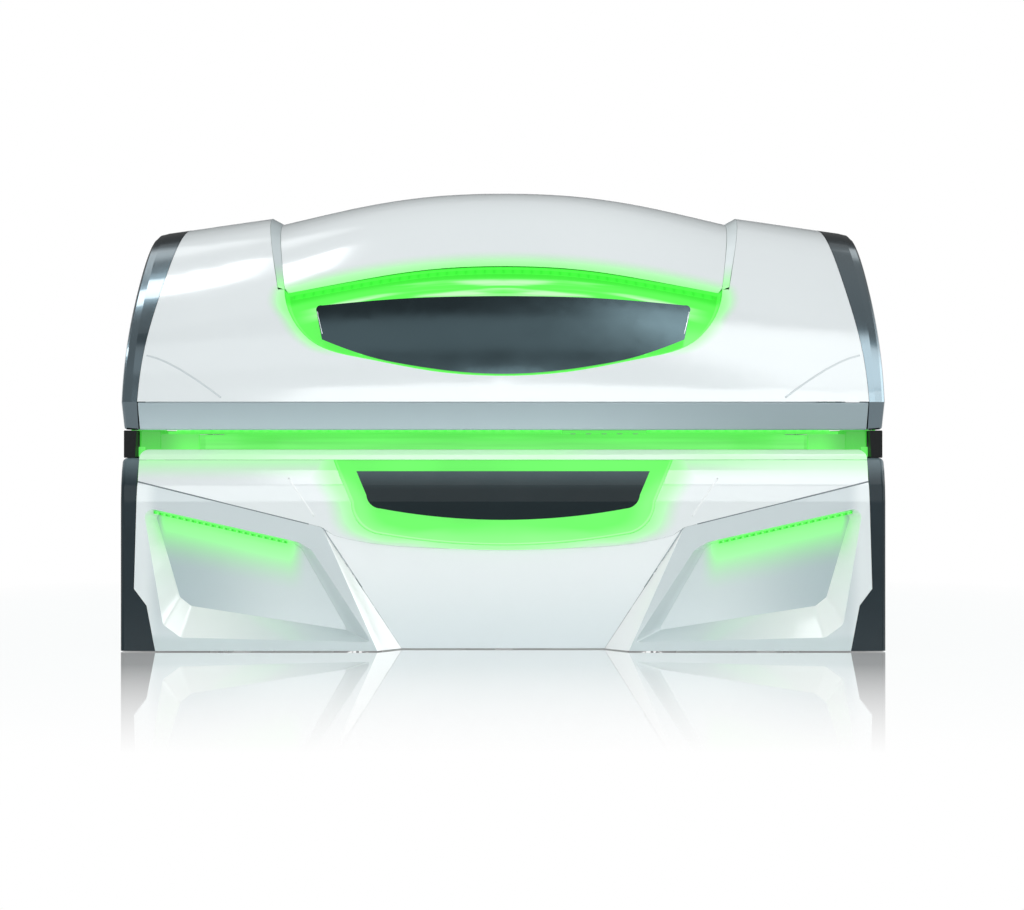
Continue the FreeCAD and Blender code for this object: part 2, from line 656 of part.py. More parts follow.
# ---------------------------------------------------------------- canopy frame and hinges
RIB_T = 18.0
RIB_R0 = CANOPY_REF_R + REFLECTOR_T + FIT
RIB_R1 = RIB_R0 + RIB_T
END_RIB_X = PLATE_X - 12.0
frame_parts = []
for x in (-END_RIB_X, -350.0, 350.0, END_RIB_X):
    rib = arc_sheet(ARCH_Z, RIB_R0, RIB_R1, math.radians(60.0), True, x - RIB_T / 2, x + RIB_T / 2)
    frame_parts.append(rib)
frame_parts.append(box(-FRAME_HALF, 505.0, 800.0, FRAME_HALF, 545.0, 840.0))
frame_parts.append(box(-FRAME_HALF, TUNNEL_Y - 20.0, ARCH_Z + RIB_R0 + 6.0,
                       FRAME_HALF, TUNNEL_Y + 20.0, ARCH_Z + RIB_R1 + 20.0))
frame_parts.append(box(-FRAME_HALF, -645.0, RAIL_TOP + 7.0, FRAME_HALF, -618.0, RAIL_TOP + 27.0))
ARM = [(HINGE_Y - 22.0, HINGE_Z - 4.0), (HINGE_Y, HINGE_Z - 22.0), (HINGE_Y + 22.0, HINGE_Z - 4.0),
       (HINGE_Y + 16.0, 800.0), (HINGE_Y + 4.0, 841.0), (504.0, 841.0), (504.0, 799.0),
       (HINGE_Y - 24.0, 780.0)]
for side in (-1.0, 1.0):
    arm = prism_x(ARM, side * HINGE_X - 5.0, side * HINGE_X + 5.0)
    frame_parts.append(arm)
canopy_frame = fuse(frame_parts)
for side in (-1.0, 1.0):
    bore = rod((side * HINGE_X - 10.0, HINGE_Y, HINGE_Z), (1, 0, 0), PIN_R + PIN_PLAY, 20.0)
    canopy_frame = canopy_frame.cut(bore)
save("canopy_frame", canopy_frame)
for side in (-1.0, 1.0):
    slot = box(side * HINGE_X - 24.0, 505.0, 660.0, side * HINGE_X + 24.0, 620.0, 700.0)
    rear_trim = rear_trim.cut(slot)
save("canopy_rear_trim", rear_trim)

# Rear skirt floor closing the overhang behind the hinge.
skirt = prism_x([(610.0, 676.0), (668.5, 676.0), (668.5, 680.0), (614.0, 680.0), (614.0, 702.0),
                 (610.0, 702.0)], -TRIM_HALF, TRIM_HALF)
save("canopy_skirt_strip", skirt)

# ---------------------------------------------------------------- control panel with push buttons
PANEL_Z = RAIL_BOTTOM - 10.0
BUTTON_GAP = 0.4
panel_box = box(BUTTON_X[0] - 35.0, RAIL_BACK + 1.2, PANEL_Z, BUTTON_X[-1] + 35.0, -561.0, RAIL_BOTTOM + 0.2)
panel = panel_box.makeChamfer(3.0, [e for e in panel_box.Edges if abs(e.tangentAt(0).z) > 0.9])
hole_half = BUTTON_HALF + BUTTON_GAP
for x in BUTTON_X:
    panel = panel.cut(box(x - hole_half, BUTTON_Y - hole_half, PANEL_Z - 1.0,
                          x + hole_half, BUTTON_Y + hole_half, PANEL_Z + 6.8))
save("control_panel", panel)
for i, x in enumerate(BUTTON_X):
    button = box(x - BUTTON_HALF, BUTTON_Y - BUTTON_HALF, PANEL_Z - 1.8,
                 x + BUTTON_HALF, BUTTON_Y + BUTTON_HALF, PANEL_Z + 4.4)
    rim_edges = [e for e in button.Edges if e.BoundBox.ZMax < PANEL_Z - 1.7]
    save("button_%d" % (i + 1), button.makeChamfer(0.8, rim_edges))

# ---------------------------------------------------------------- bench end caps
SIDE = [(FRONT_Y, 0.0), (FRONT_Y, 455.0), (-671.0, 505.0), (-661.0, 550.0), (-645.0, 587.0),
        (BENCH_REAR, 587.0), (BENCH_REAR, 0.0)]
FOOT_VIEW = [(HALF_LENGTH - 107.0, 0.0), (HALF_LENGTH - 80.0, 140.0), (HALF_LENGTH - 42.0, 190.0),
             (BENCH_HALF_X, 575.0), (BENCH_HALF_X, 600.0), (HALF_LENGTH, 600.0), (HALF_LENGTH, 0.0)]
bench_cap = prism_x(SIDE, PLATE_X, HALF_LENGTH, [0, 120.0, 60.0, 60.0, 14.0, 14.0, 0])
END_FACE = HALF_LENGTH - 0.1
outer_edges = [e for e in bench_cap.Edges if e.BoundBox.XMin > END_FACE and e.BoundBox.ZMax > 1.0]
bench_cap = bench_cap.makeFillet(16.0, outer_edges)
cap_core = prism_x(inset(SIDE, CAP_WALL), PLATE_X - 40.0, HALF_LENGTH - CAP_WALL)
cap_core = cap_core.cut(tunnel(BENCH_Z, BENCH_R + CAP_WALL))
bench_cap = bench_cap.cut(tunnel(BENCH_Z, BENCH_R)).cut(cap_core)
side_mask = fuse([prism_y(FOOT_VIEW, CUT_FRONT, -640.0),
                  box(BENCH_HALF_X, -641.0, -10.0, BEYOND, CUT_REAR, 620.0)])
bench_cap = bench_cap.common(side_mask)
slot_low = box(SPRING_X - SLOT_HALF, 446.0, 560.0, SPRING_X + SLOT_HALF, 525.0, 620.0)
bench_cap = bench_cap.cut(slot_low)
FLOOR_GAP = 3.0             # the panels end this far above the floor
bench_cap = bench_cap.cut(box(0.0, CUT_FRONT, -5.0, BEYOND, CUT_REAR, FLOOR_GAP))
save("bench_end_cap_right", bench_cap)
save("bench_end_cap_left", flip(bench_cap))

# Dark blocks that fill the gap between canopy and bench at each end.
BLOCK_TOP = RAIL_BOTTOM - SEAM
GAP_TRIM = [(HALF_LENGTH - 38.0, 587.4), (HALF_LENGTH - 4.0, 587.4), (HALF_LENGTH - 4.0, BLOCK_TOP),
            (HALF_LENGTH - 43.0, BLOCK_TOP), (HALF_LENGTH - 41.0, 630.0)]
gap_trim = prism_y(GAP_TRIM, -638.0, -575.0, [4.0, 3.0, 3.0, 3.0, 20.0])
save("gap_trims", both(gap_trim))

# ---------------------------------------------------------------- bench front
FACE = [(FRONT_Y, 0.0), (FRONT_Y, 455.0), (-671.0, 505.0), (-661.0, 550.0), (-650.5, RIM_Z)]
FACE_BACK = [(y + SKIN, z) for y, z in reversed(FACE)]
FACE_RADII = [0, 120.0, 60.0, 40.0, 0, 0, 40.0, 60.0, 120.0, 0]
FACE_REAR = -600.0
front_skin = prism_x(FACE + FACE_BACK, -BENCH_HALF_X, BENCH_HALF_X, FACE_RADII)

SEAM_END = 515.0            # height of the seam over the wings, at the end caps
SEAM_CURVE = [(-513.0, 353.0), (-407.0, 330.0), (-221.0, 315.0), (0.0, 309.0)]
fascia_half = [(-PANEL_HALF, RIM_Z - 0.5), (-PANEL_HALF, SEAM_END + FIT), (-551.0, 378.0 + FIT)]
fascia_half = fascia_half + [(x, z + FIT) for x, z in SEAM_CURVE]
fascia_prism = smooth_prism(mirrored(fascia_half), both_ends([0, 1, 2, 3], fascia_half), CUT_FRONT, FACE_REAR)
RECESS = [(-517.0, RIM_Z + 2.0), (-462.0, 452.0), (-436.0, 387.0), (-372.0, 355.0), (0.0, 322.0)]
recess_shape = mirrored(RECESS)
recess_corners = both_ends([0, 1, 3], RECESS)
fascia = front_skin.common(fascia_prism)
fascia = fascia.cut(smooth_prism(recess_shape, recess_corners, CUT_FRONT, FACE_REAR))
save("bench_fascia", fascia)

TRAY_WALL = 3.0
recess_skin = prism_x([(y + SEAM, z) for y, z in FACE] + [(FACE_REAR, RIM_Z), (FACE_REAR, 0.0)],
                      -PANEL_HALF, PANEL_HALF)
recess_edge = smooth_prism(inset(recess_shape, SEAM / 2), recess_corners, CUT_FRONT, FACE_REAR)
recess_in = smooth_prism(inset(recess_shape, SEAM / 2 + TRAY_WALL), recess_corners, CUT_FRONT,
                         FACE_REAR - TRAY_WALL)
recess_tray = recess_skin.common(recess_edge).cut(recess_in)
recess_tray = recess_tray.cut(box(-600.0, CUT_FRONT, RIM_Z - 0.6, 600.0, FACE_REAR, 640.0))
NAME_PLATE = [(-445.0, 547.0), (-414.0, 475.0), (-401.0, 447.0), (-372.0, 434.0), (0.0, 399.5)]
NAME_PLATE_T = 6.0
PEG_Z = 480.0
PEG_BASE = FACE_REAR - 2.0
for x in (-330.0, 0.0, 330.0):
    peg = bar((x, PEG_BASE, PEG_Z), (0, -1, 0), 6.0, FACE_REAR - 2.0 - FRONT_Y - NAME_PLATE_T - 3.0, 6)
    recess_tray = recess_tray.fuse(peg)
plate_skin = prism_x(FACE + [(y + NAME_PLATE_T, z) for y, z in reversed(FACE)], -500.0, 500.0)
name_prism = smooth_prism(mirrored(NAME_PLATE), both_ends([0, 1, 3], NAME_PLATE), CUT_FRONT, FACE_REAR)
name_plate = plate_skin.common(name_prism)
save("fascia_light_tray", recess_tray.cut(plate_skin))
save("fascia_plate", name_plate)

RIM_BACK = -563.3
RIM = [(-652.0, RIM_Z + FIT), (-649.0, 598.0), (-634.0, RIM_TOP), (-590.0, RIM_TOP), (RIM_BACK, 592.0),
       (RIM_BACK, RIM_Z + FIT)]
RIM_WALL = 4.0
rim = prism_x(RIM, -PANEL_HALF, PANEL_HALF, [2.0, 12.0, 14.0, 16.0, 0, 0])
rim = rim.cut(prism_x(inset(RIM, RIM_WALL), -BEYOND, BEYOND))
rim_view = [(-PANEL_HALF, 570.0), (-PANEL_HALF, RIM_TOP + 1.0), (PANEL_HALF, RIM_TOP + 1.0),
            (PANEL_HALF, 570.0)]
rim = rim.common(prism_y(rim_view, CUT_FRONT, -500.0, [0, 30.0, 30.0, 0]))
save("bench_front_rim", rim)

# Corner bolsters: moulded blocks that close the boarding gap's ends and follow the lying surface.
BOLSTER_FRONT = -602.0
BOLSTER_REAR = -420.0
BOLSTER_OUTER = -HALF_LENGTH + 43.5
BOLSTER = [(BOLSTER_OUTER, BOLSTER_FRONT), (-HALF_LENGTH + 100.0, BOLSTER_FRONT),
           (-HALF_LENGTH + 205.0, BOLSTER_REAR), (BOLSTER_OUTER, BOLSTER_REAR)]
BOLSTER_TOP = RAIL_BOTTOM - SEAM


def xy(z, p):
    """Point of a plan view."""
    return V(p[0], p[1], z)


bolster = Part.Face(wire(BOLSTER, xy, BENCH_EDGE - BENCH_DIP, [3.0, 30.0, 12.0, 3.0]))
bolster = bolster.extrude(V(0, 0, BOLSTER_TOP - BENCH_EDGE + BENCH_DIP))
over_rim = box(-BEYOND, CUT_FRONT, RIM_TOP + FIT, 0.0, RIM_BACK + FIT, ABOVE)
over_bed = tunnel(BENCH_Z, BENCH_R - FIT).common(box(-BEYOND, RIM_BACK + FIT, 0.0, 0.0, CUT_REAR, ABOVE))
bolster = bolster.common(over_rim.fuse(over_bed))
top_edges = [e for e in bolster.Edges if e.BoundBox.ZMin > BOLSTER_TOP - 0.1]
save("gap_corner_bolsters", both(bolster.makeChamfer(2.0, top_edges)))

# Wings: moulded panels with a deep lit pocket and a chamfered inner edge.
APEX = (-545.0, 372.0)
TOE_FRONT = (-381.0, FLOOR_GAP)
TOE_BACK = (-312.0, FLOOR_GAP)
TOE_Y = FRONT_Y + TOE_IN
wing_shape = [(-PANEL_HALF, SEAM_END - FIT), (-551.5, 378.0 - FIT), APEX, TOE_FRONT,
              (-HALF_LENGTH + 107.4, FLOOR_GAP), (-HALF_LENGTH + 81.2, 140.5), (-HALF_LENGTH + 43.2, 191.0),
              (-HALF_LENGTH + 52.2, 500.0)]
wide_skin = prism_x(FACE + FACE_BACK, -BEYOND, BEYOND)
wing = wide_skin.common(prism_y(wing_shape, CUT_FRONT, FACE_REAR))
POCKET = [(-HALF_LENGTH + 70.0, 439.0), (-620.0, 333.0), (-579.0, 309.0), (-409.0, 49.0), (-401.0, 29.0),
          (-HALF_LENGTH + 184.0, 42.0), (-HALF_LENGTH + 130.0, 82.0)]
POCKET_BACK = [(-HALF_LENGTH + 94.0, 420.0), (-640.0, 324.0), (-619.0, 310.0), (-484.0, 72.0),
               (-481.0, 60.0), (-HALF_LENGTH + 204.0, 134.0), (-HALF_LENGTH + 170.0, 161.0)]
POCKET_RADII = [24.0, 30.0, 30.0, 10.0, 5.0, 30.0, 24.0]
BACK_RADII = [r * 0.55 for r in POCKET_RADII]
POCKET_WALL = 4.0
pocket_front = wire(POCKET, xz, FRONT_Y - 1.0, POCKET_RADII)
pocket_back = wire(POCKET_BACK, xz, FRONT_Y + POCKET_DEPTH, BACK_RADII)
pocket = Part.makeLoft([pocket_front, pocket_back], True, True)
body_front = wire(inset(POCKET, -POCKET_WALL), xz, FRONT_Y + 2.0)
body_back = wire(inset(POCKET_BACK, -POCKET_WALL), xz, FRONT_Y + POCKET_DEPTH + POCKET_WALL)
pocket_body = Part.makeLoft([body_front, body_back], True, True)
flank = Part.Face(Part.makePolygon([xz(FRONT_Y, APEX), xz(FRONT_Y, TOE_FRONT), xz(TOE_Y, TOE_BACK),
                                    xz(FRONT_Y, APEX)])).extrude(V(-4.0, 3.0, 0))
wing = fuse([wing, pocket_body, flank]).cut(pocket)
save("wing_panel_left", wing)
save("wing_panel_right", flip(wing))

# Light strips just under each pocket's upper edge.
STRIP_DROP = 6.8
STRIP_H = 7.0
STRIP_X = (-HALF_LENGTH + 100.0, -655.0)
slope = (POCKET[1][1] - POCKET[0][1]) / (POCKET[1][0] - POCKET[0][0])
strip_top = [(x, POCKET[0][1] + (x - POCKET[0][0]) * slope - STRIP_DROP) for x in STRIP_X]
strip_shape = strip_top + [(x, z - STRIP_H) for x, z in reversed(strip_top)]
save("wing_led_strips", both(prism_y(strip_shape, FRONT_Y + 12.0, FRONT_Y + 24.0)))

# Centre kick panel leaning back to the floor.
KICK_Y = FRONT_Y + 0.5
kick = prism_x([(KICK_Y, APEX[1]), (TOE_Y, FLOOR_GAP), (TOE_Y + SKIN, FLOOR_GAP), (KICK_Y + SKIN, APEX[1])],
               -600.0, 600.0)
kick_half = [(TOE_BACK[0] + SEAM, FLOOR_GAP), (APEX[0] + 2.0, APEX[1] - 1.0)]
kick_half = kick_half + [(x, z - 0.4) for x, z in SEAM_CURVE]
kick = kick.common(smooth_prism(mirrored(kick_half), both_ends([0, 1, 2], kick_half), CUT_FRONT, -590.0))
save("centre_kick_panel", kick)

# ---------------------------------------------------------------- bench rear
REAR_SKIN = 4.0
REAR_FACE = BENCH_REAR - 1.0
SLOTS = 6
rear = box(-PANEL_HALF, REAR_FACE - REAR_SKIN, 30.0, PANEL_HALF, REAR_FACE, 574.0)
for side in (-1.0, 1.0):
    rear = rear.cut(rod((side * FAN_X, 500.0, FAN_Z), (0, 1, 0), FAN_R + 2.0, 80.0))
    for row in range(SLOTS):
        z0 = 360.0 + row * 26.0
        rear = rear.cut(box(side * 300.0 - 150.0, 500.0, z0, side * 300.0 + 150.0, 560.0, z0 + 10.0))
GLAND_X = HALF_LENGTH - GLAND_IN
GLAND_BODY = 12.0
rear = rear.cut(rod((GLAND_X, 500.0, GLAND_Z), (0, 1, 0), GLAND_BODY + 0.4, 80.0))
save("bench_rear_panel", rear)

# Rear rim with an upright that screens the inside from the boarding side.
REAR_RIM = [(443.3, 581.0), (538.0, 581.0), (539.0, 600.0), (449.0, 600.0), (443.3, 592.0)]
REAR_RIM_IN = [(449.0, 585.0), (534.0, 585.0), (534.5, 596.0), (452.0, 596.0)]
rear_rim = prism_x(REAR_RIM, -TRIM_HALF, TRIM_HALF, [0, 3.0, 8.0, 8.0, 0])
rear_rim = rear_rim.cut(prism_x(REAR_RIM_IN, -BEYOND, BEYOND))
SCREEN_T = 4.0
SCREEN_Y = 458.0
SCREEN_FOOT = 598.0
SCREEN_HALF = HALF_LENGTH - 50.0
screens = [box(-TRIM_HALF, SCREEN_Y, SCREEN_FOOT, TRIM_HALF, SCREEN_Y + SCREEN_T, RAIL_BOTTOM + 1.5),
           box(-SCREEN_HALF, SCREEN_Y, SCREEN_FOOT, SCREEN_HALF, SCREEN_Y + SCREEN_T, RAIL_BOTTOM - SEAM)]
rear_rim = rear_rim.multiFuse(screens)
for side in (-1.0, 1.0):
    rear_rim = rear_rim.cut(box(side * HINGE_X - 22.0, 470.0, 570.0, side * HINGE_X + 22.0, 560.0, 620.0))
save("bench_rear_rim", rear_rim)

end_plate = box(PLATE_X, FACE_REAR + 1.0, 120.3, PLATE_X + PLATE_T, REAR_FACE - REAR_SKIN - FIT, RIM_Z - FIT)
end_plate = end_plate.cut(tunnel(BENCH_Z, BENCH_R + ACRYLIC + SEAM))
save("bench_end_plates", both(end_plate))

# ---------------------------------------------------------------- bench frame, feet, hinges
BEAM_Z0 = 60.0
BEAM_Z1 = 120.0
BEAM_HALF = HALF_LENGTH - CAP_WALL - FIT
beams = [box(-BEAM_HALF, -560.0, BEAM_Z0, BEAM_HALF, -500.0, BEAM_Z1),
         box(-BEAM_HALF, 440.0, BEAM_Z0, BEAM_HALF, 500.0, BEAM_Z1)]
for x in (-HINGE_X, 0.0, HINGE_X):
    beams.append(box(x - 30.0, -500.0, BEAM_Z0 + 5.0, x + 30.0, 440.0, BEAM_Z1 - 5.0))
POST = [(478.0, 119.0), (528.0, 119.0), (528.0, 640.0), (600.0, 670.0), (602.0, 700.0), (585.0, 716.0),
        (562.0, 714.0), (500.0, 660.0), (478.0, 610.0)]
for side in (-1.0, 1.0):
    for off in (-14.0, 6.4):
        x = side * HINGE_X + off
        beams.append(prism_x(POST, x, x + 7.6))
    beams.append(box(side * HINGE_X - 14.0, 478.0, 119.0, side * HINGE_X + 14.0, 490.0, 560.0))
for x in (-700.0, 0.0, 700.0):
    beams.append(box(x - 10.0, -592.0, BEAM_Z0, x + 10.0, -559.0, BEAM_Z1))
    beams.append(box(x - 10.0, -592.0, BEAM_Z0, x + 10.0, -578.0, 570.0))
    beams.append(box(x - 10.0, 455.0, 119.0, x + 10.0, 475.0, 330.0))
    beams.append(box(x - 10.0, 455.0, 300.0, x + 10.0, REAR_FACE - REAR_SKIN - FIT, 312.0))
beams.append(box(-TRIM_HALF, -596.0, 560.0, TRIM_HALF, -567.0, RIM_Z - 0.1))
bench_frame = fuse(beams)
for side in (-1.0, 1.0):
    bench_frame = bench_frame.cut(rod((side * HINGE_X - 20.0, HINGE_Y, HINGE_Z), (1, 0, 0), PIN_R, 40.0))
save("bench_frame", bench_frame)
HEAD_R = 13.0
pins = []
for side in (-1.0, 1.0):
    pin = rod((side * HINGE_X - 17.0, HINGE_Y, HINGE_Z), (1, 0, 0), PIN_R, 34.0)
    for start in (-20.0, 15.0):
        pin = pin.fuse(bar((side * HINGE_X + start, HINGE_Y, HINGE_Z), (1, 0, 0), HEAD_R, 5.0, 6))
    pins.append(pin)
save("hinge_pins", pins)
PAD_H = 14.0
feet = []
for x in (-HINGE_X, HINGE_X):
    for y in (-530.0, 470.0):
        pad = Part.makeCone(32.0, 24.0, PAD_H, V(x, y, 0))
        feet.append(pad.fuse(bar((x, y, PAD_H - 1.0), (0, 0, 1), 9.0, BEAM_Z0 - PAD_H + 1.0, 6)))
save("levelling_feet", feet)

# ---------------------------------------------------------------- gas springs
dy = SPRING_TOP[0] - SPRING_BASE[0]
dz = SPRING_TOP[1] - SPRING_BASE[1]
span = math.hypot(dy, dz)
aim = (0, dy / span, dz / span)


def at_spring(distance):
    """Point on the closed gas spring's axis."""
    return (SPRING_X, SPRING_BASE[0] + aim[1] * distance, SPRING_BASE[1] + aim[2] * distance)


EYE_HALF = 7.0              # half thickness of both eyes
BASE_STUD_R = 5.0
TOP_STUD_R = 4.5
ROD_R = 5.0
CYLINDER_R = 11.0
CYLINDER_LENGTH = 276.0
cylinder = rod(at_spring(10.0), aim, CYLINDER_R, CYLINDER_LENGTH)
cylinder = cylinder.fuse(rod((SPRING_X - EYE_HALF,) + SPRING_BASE, (1, 0, 0), 12.0, 2 * EYE_HALF))
cylinder = cylinder.cut(rod((SPRING_X - 15.0,) + SPRING_BASE, (1, 0, 0), BASE_STUD_R + PIN_PLAY, 30.0))
cylinder = cylinder.cut(rod(at_spring(30.0), aim, ROD_R + PIN_PLAY, CYLINDER_LENGTH))
piston = rod(at_spring(90.0), aim, ROD_R, span - 102.0)
piston = piston.fuse(rod((SPRING_X - EYE_HALF,) + SPRING_TOP, (1, 0, 0), 16.0, 2 * EYE_HALF))
piston = piston.cut(rod((SPRING_X - 9.0,) + SPRING_TOP, (1, 0, 0), TOP_STUD_R + SPRING_PLAY, 18.0))
save("gas_spring_cylinder_right", cylinder)
save("gas_spring_cylinder_left", flip(cylinder))
save("gas_spring_rod_right", piston)
save("gas_spring_rod_left", flip(piston))
STUD_X = PLATE_X + PLATE_T + 0.1
SPACER = SPRING_X - EYE_HALF - STUD_X - 4.9


def stud(point, radius, nut_gap, nut_radius):
    """Round stud on an end plate, with a hexagonal spacer and a retaining nut past the spring's eye."""
    shape = rod((STUD_X,) + point, (1, 0, 0), radius, SPRING_X + 13.0 - STUD_X)
    shape = shape.fuse(bar((STUD_X,) + point, (1, 0, 0), 15.0, SPACER, 6))
    return shape.fuse(bar((SPRING_X + EYE_HALF + nut_gap,) + point, (1, 0, 0), nut_radius, 4.0, 6))


save("spring_base_studs", both(stud(SPRING_BASE, BASE_STUD_R, 1.0, 10.0)))
save("spring_canopy_studs", both(stud(SPRING_TOP, TOP_STUD_R, 1.5, 17.0)))

# ---------------------------------------------------------------- cooling fans
BLADES = 5
BLADE_PITCH = 38.0
SHAFT_R = 5.0
HUB_R = 30.0
FAN_FRONT = 500.0
HOUSING_HALF = FAN_R + 8.0
for side, label in ((-1.0, "left"), (1.0, "right")):
    x = side * FAN_X
    pieces = [rod((x, FAN_FRONT + 8.0, FAN_Z), (0, 1, 0), HUB_R, 20.0)]
    for i in range(BLADES):
        blade = box(x + HUB_R - 4.0, FAN_FRONT + 7.0, FAN_Z - 1.2,
                    x + FAN_R - 4.0, FAN_FRONT + 31.0, FAN_Z + 1.2)
        blade.rotate(V(x + 50.0, FAN_FRONT + 19.0, FAN_Z), V(1, 0, 0), BLADE_PITCH)
        blade.rotate(V(x, FAN_FRONT + 19.0, FAN_Z), V(0, 1, 0), 360.0 * i / BLADES)
        pieces.append(blade)
    rotor = fuse(pieces).cut(rod((x, FAN_FRONT - 10.0, FAN_Z), (0, 1, 0), SHAFT_R + PIN_PLAY, 32.0))
    save("fan_rotor_" + label, rotor)
    ring = box(x - HOUSING_HALF, FAN_FRONT, FAN_Z - HOUSING_HALF,
               x + HOUSING_HALF, REAR_FACE - REAR_SKIN - FIT, FAN_Z + HOUSING_HALF)
    ring = ring.cut(rod((x, FAN_FRONT - 4.0, FAN_Z), (0, 1, 0), FAN_R, 50.0))
    motor = bar((x, FAN_FRONT - 16.0, FAN_Z), (0, 1, 0), 28.0, 20.0, 12)
    motor = motor.fuse(rod((x, FAN_FRONT, FAN_Z), (0, 1, 0), SHAFT_R, 18.0))
    arms = [box(x - FAN_R - 4.0, FAN_FRONT - 4.0, FAN_Z - 5.0, x + FAN_R + 4.0, FAN_FRONT + 1.0, FAN_Z + 5.0),
            box(x - 5.0, FAN_FRONT - 4.0, FAN_Z - FAN_R - 4.0, x + 5.0, FAN_FRONT + 1.0, FAN_Z + FAN_R + 4.0)]
    save("fan_housing_" + label, fuse([ring, motor] + arms))

GUARD_HALF = FAN_R + 6.0
GUARD_PITCH = 22.0
GUARD_BARS = 7
GUARD_T = 2.4
guards = []
for side in (-1.0, 1.0):
    x = side * FAN_X
    y0 = REAR_FACE + 0.1
    bars = []
    for i in range(GUARD_BARS):
        at = x + (i - (GUARD_BARS - 1) / 2) * GUARD_PITCH
        bars.append(box(at - 1.5, y0, FAN_Z - GUARD_HALF, at + 1.5, y0 + GUARD_T, FAN_Z + GUARD_HALF))
    for z in (FAN_Z - GUARD_HALF, FAN_Z - 1.5, FAN_Z + GUARD_HALF - 3.0):
        bars.append(box(x - GUARD_HALF, y0, z, x + GUARD_HALF, y0 + GUARD_T, z + 3.0))
    guards.append(fuse(bars))
save("fan_guards", guards)

# Ballast boxes and mains inlet gland.
ballast = box(150.0, 444.0, BEAM_Z1 + FIT, 400.0, 496.0, BEAM_Z1 + 70.0)
save("ballast_boxes", both(ballast))
gland = bar((GLAND_X, REAR_FACE + 0.2, GLAND_Z), (0, 1, 0), 18.0, 15.0, 6)
gland = gland.fuse(rod((GLAND_X, REAR_FACE - 9.0, GLAND_Z), (0, 1, 0), GLAND_BODY, 10.0))
gland = gland.cut(rod((GLAND_X, REAR_FACE - 11.0, GLAND_Z), (0, 1, 0), GLAND_BORE, 40.0))
save("mains_gland", gland)
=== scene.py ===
# %% [markdown]
# # A clamshell tanning bed, lit green from inside
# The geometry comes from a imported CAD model, so no shape is fitted here. This script adds what CAD does not
# say: how each plastic, metal and glass looks, which parts glow, the small parts that CAD leaves out, and how
# the studio is lit. Everything is in metres. +X runs along the bed, -Y is the boarding side, and the floor is
# at z = 0.

# %% Load the frame
import math
import bmesh
import bpy
from mathutils import Matrix, Vector
from mathutils.bvhtree import BVHTree


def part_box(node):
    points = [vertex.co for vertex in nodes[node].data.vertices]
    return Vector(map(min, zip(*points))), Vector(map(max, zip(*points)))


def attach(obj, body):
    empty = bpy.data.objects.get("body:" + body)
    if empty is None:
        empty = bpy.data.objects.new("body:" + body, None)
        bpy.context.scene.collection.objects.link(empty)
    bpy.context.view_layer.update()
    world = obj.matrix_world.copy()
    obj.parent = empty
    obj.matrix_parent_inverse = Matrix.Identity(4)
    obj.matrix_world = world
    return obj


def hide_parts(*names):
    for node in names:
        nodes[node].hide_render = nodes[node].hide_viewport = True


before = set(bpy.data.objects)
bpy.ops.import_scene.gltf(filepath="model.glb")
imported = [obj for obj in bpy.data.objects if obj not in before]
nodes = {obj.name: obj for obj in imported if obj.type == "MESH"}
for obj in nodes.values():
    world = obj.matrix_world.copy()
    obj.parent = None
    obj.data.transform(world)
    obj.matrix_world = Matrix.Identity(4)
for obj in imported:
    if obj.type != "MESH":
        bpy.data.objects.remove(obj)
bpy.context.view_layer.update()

scene = bpy.context.scene
scene.view_settings.view_transform = "Standard"

# %% [markdown]
# ## The camera
# A short lens close to a long bed would make its middle bulge toward the viewer. A long lens far away keeps
# the two ends the same size, and a camera that looks level keeps the verticals upright.

# %% Camera
camera_data = bpy.data.cameras.new("camera")
camera_data.lens = 58.1
camera_data.sensor_width = 36.0
camera = bpy.data.objects.new("camera", camera_data)
camera.location = (0.027, -5.675, 0.596)
camera.rotation_euler = (math.radians(90), 0, 0)
scene.collection.objects.link(camera)
scene.camera = camera
print("camera is", round(camera.location.length, 2), "m from the bed's middle")

# %% [markdown]
# ## Colours and shader nodes
# Hex colours are display values, and a shader wants linear ones, so one function turns the first into the
# second. Another adds a node, fills in its sockets and links the nodes that feed it, so that a material
# reads from the inside out, like a formula. The short dictionaries are the settings that come up most.

# %% Colour and node helpers
RGBA = {"data_type": "RGBA"}
SMOOTH = {"interpolation_type": "SMOOTHSTEP"}
TIMES = {"operation": "MULTIPLY"}
TIMES_PLUS = {"operation": "MULTIPLY_ADD"}
MINUS = {"operation": "SUBTRACT"}
LARGER = {"operation": "MAXIMUM"}


def linear(hex_colour):
    """Display hex colour to the linear RGBA that a shader takes."""
    channels = [int(hex_colour[i:i + 2], 16) / 255 for i in (1, 3, 5)]
    return [c / 12.92 if c <= 0.04045 else ((c + 0.055) / 1.055) ** 2.4 for c in channels] + [1.0]


def add(tree, kind, settings=None, **sockets):
    """Add one node. A keyword names a socket, or counts it as i0, i1; its value may be a node or a socket."""
    node = tree.nodes.new("ShaderNode" + kind)
    for key, value in (settings or {}).items():
        setattr(node, key, value)
    for key, value in sockets.items():
        if key[0] == "i" and key[1:].isdigit():
            socket = node.inputs[int(key[1:])]
        else:
            socket = node.inputs[key.replace("_", " ")]
        if isinstance(value, bpy.types.Node):
            value = next(out for out in value.outputs if out.enabled)
        if isinstance(value, bpy.types.NodeSocket):
            tree.links.new(value, socket)
        else:
            socket.default_value = value
    return node


def new_material(name):
    """An empty node material, ready for its shader."""
    material = bpy.data.materials.new(name)
    material.use_nodes = True
    material.node_tree.nodes.clear()
    return material, material.node_tree


def dress(material, *names):
    """Give CAD nodes a material, in the slots they already have."""
    for name in names:
        for slot in nodes[name].material_slots:
            slot.material = material
    print(material.name, "on", ", ".join(names))


print("display grey #808080 is", round(linear("#808080")[0], 3), "in linear light")


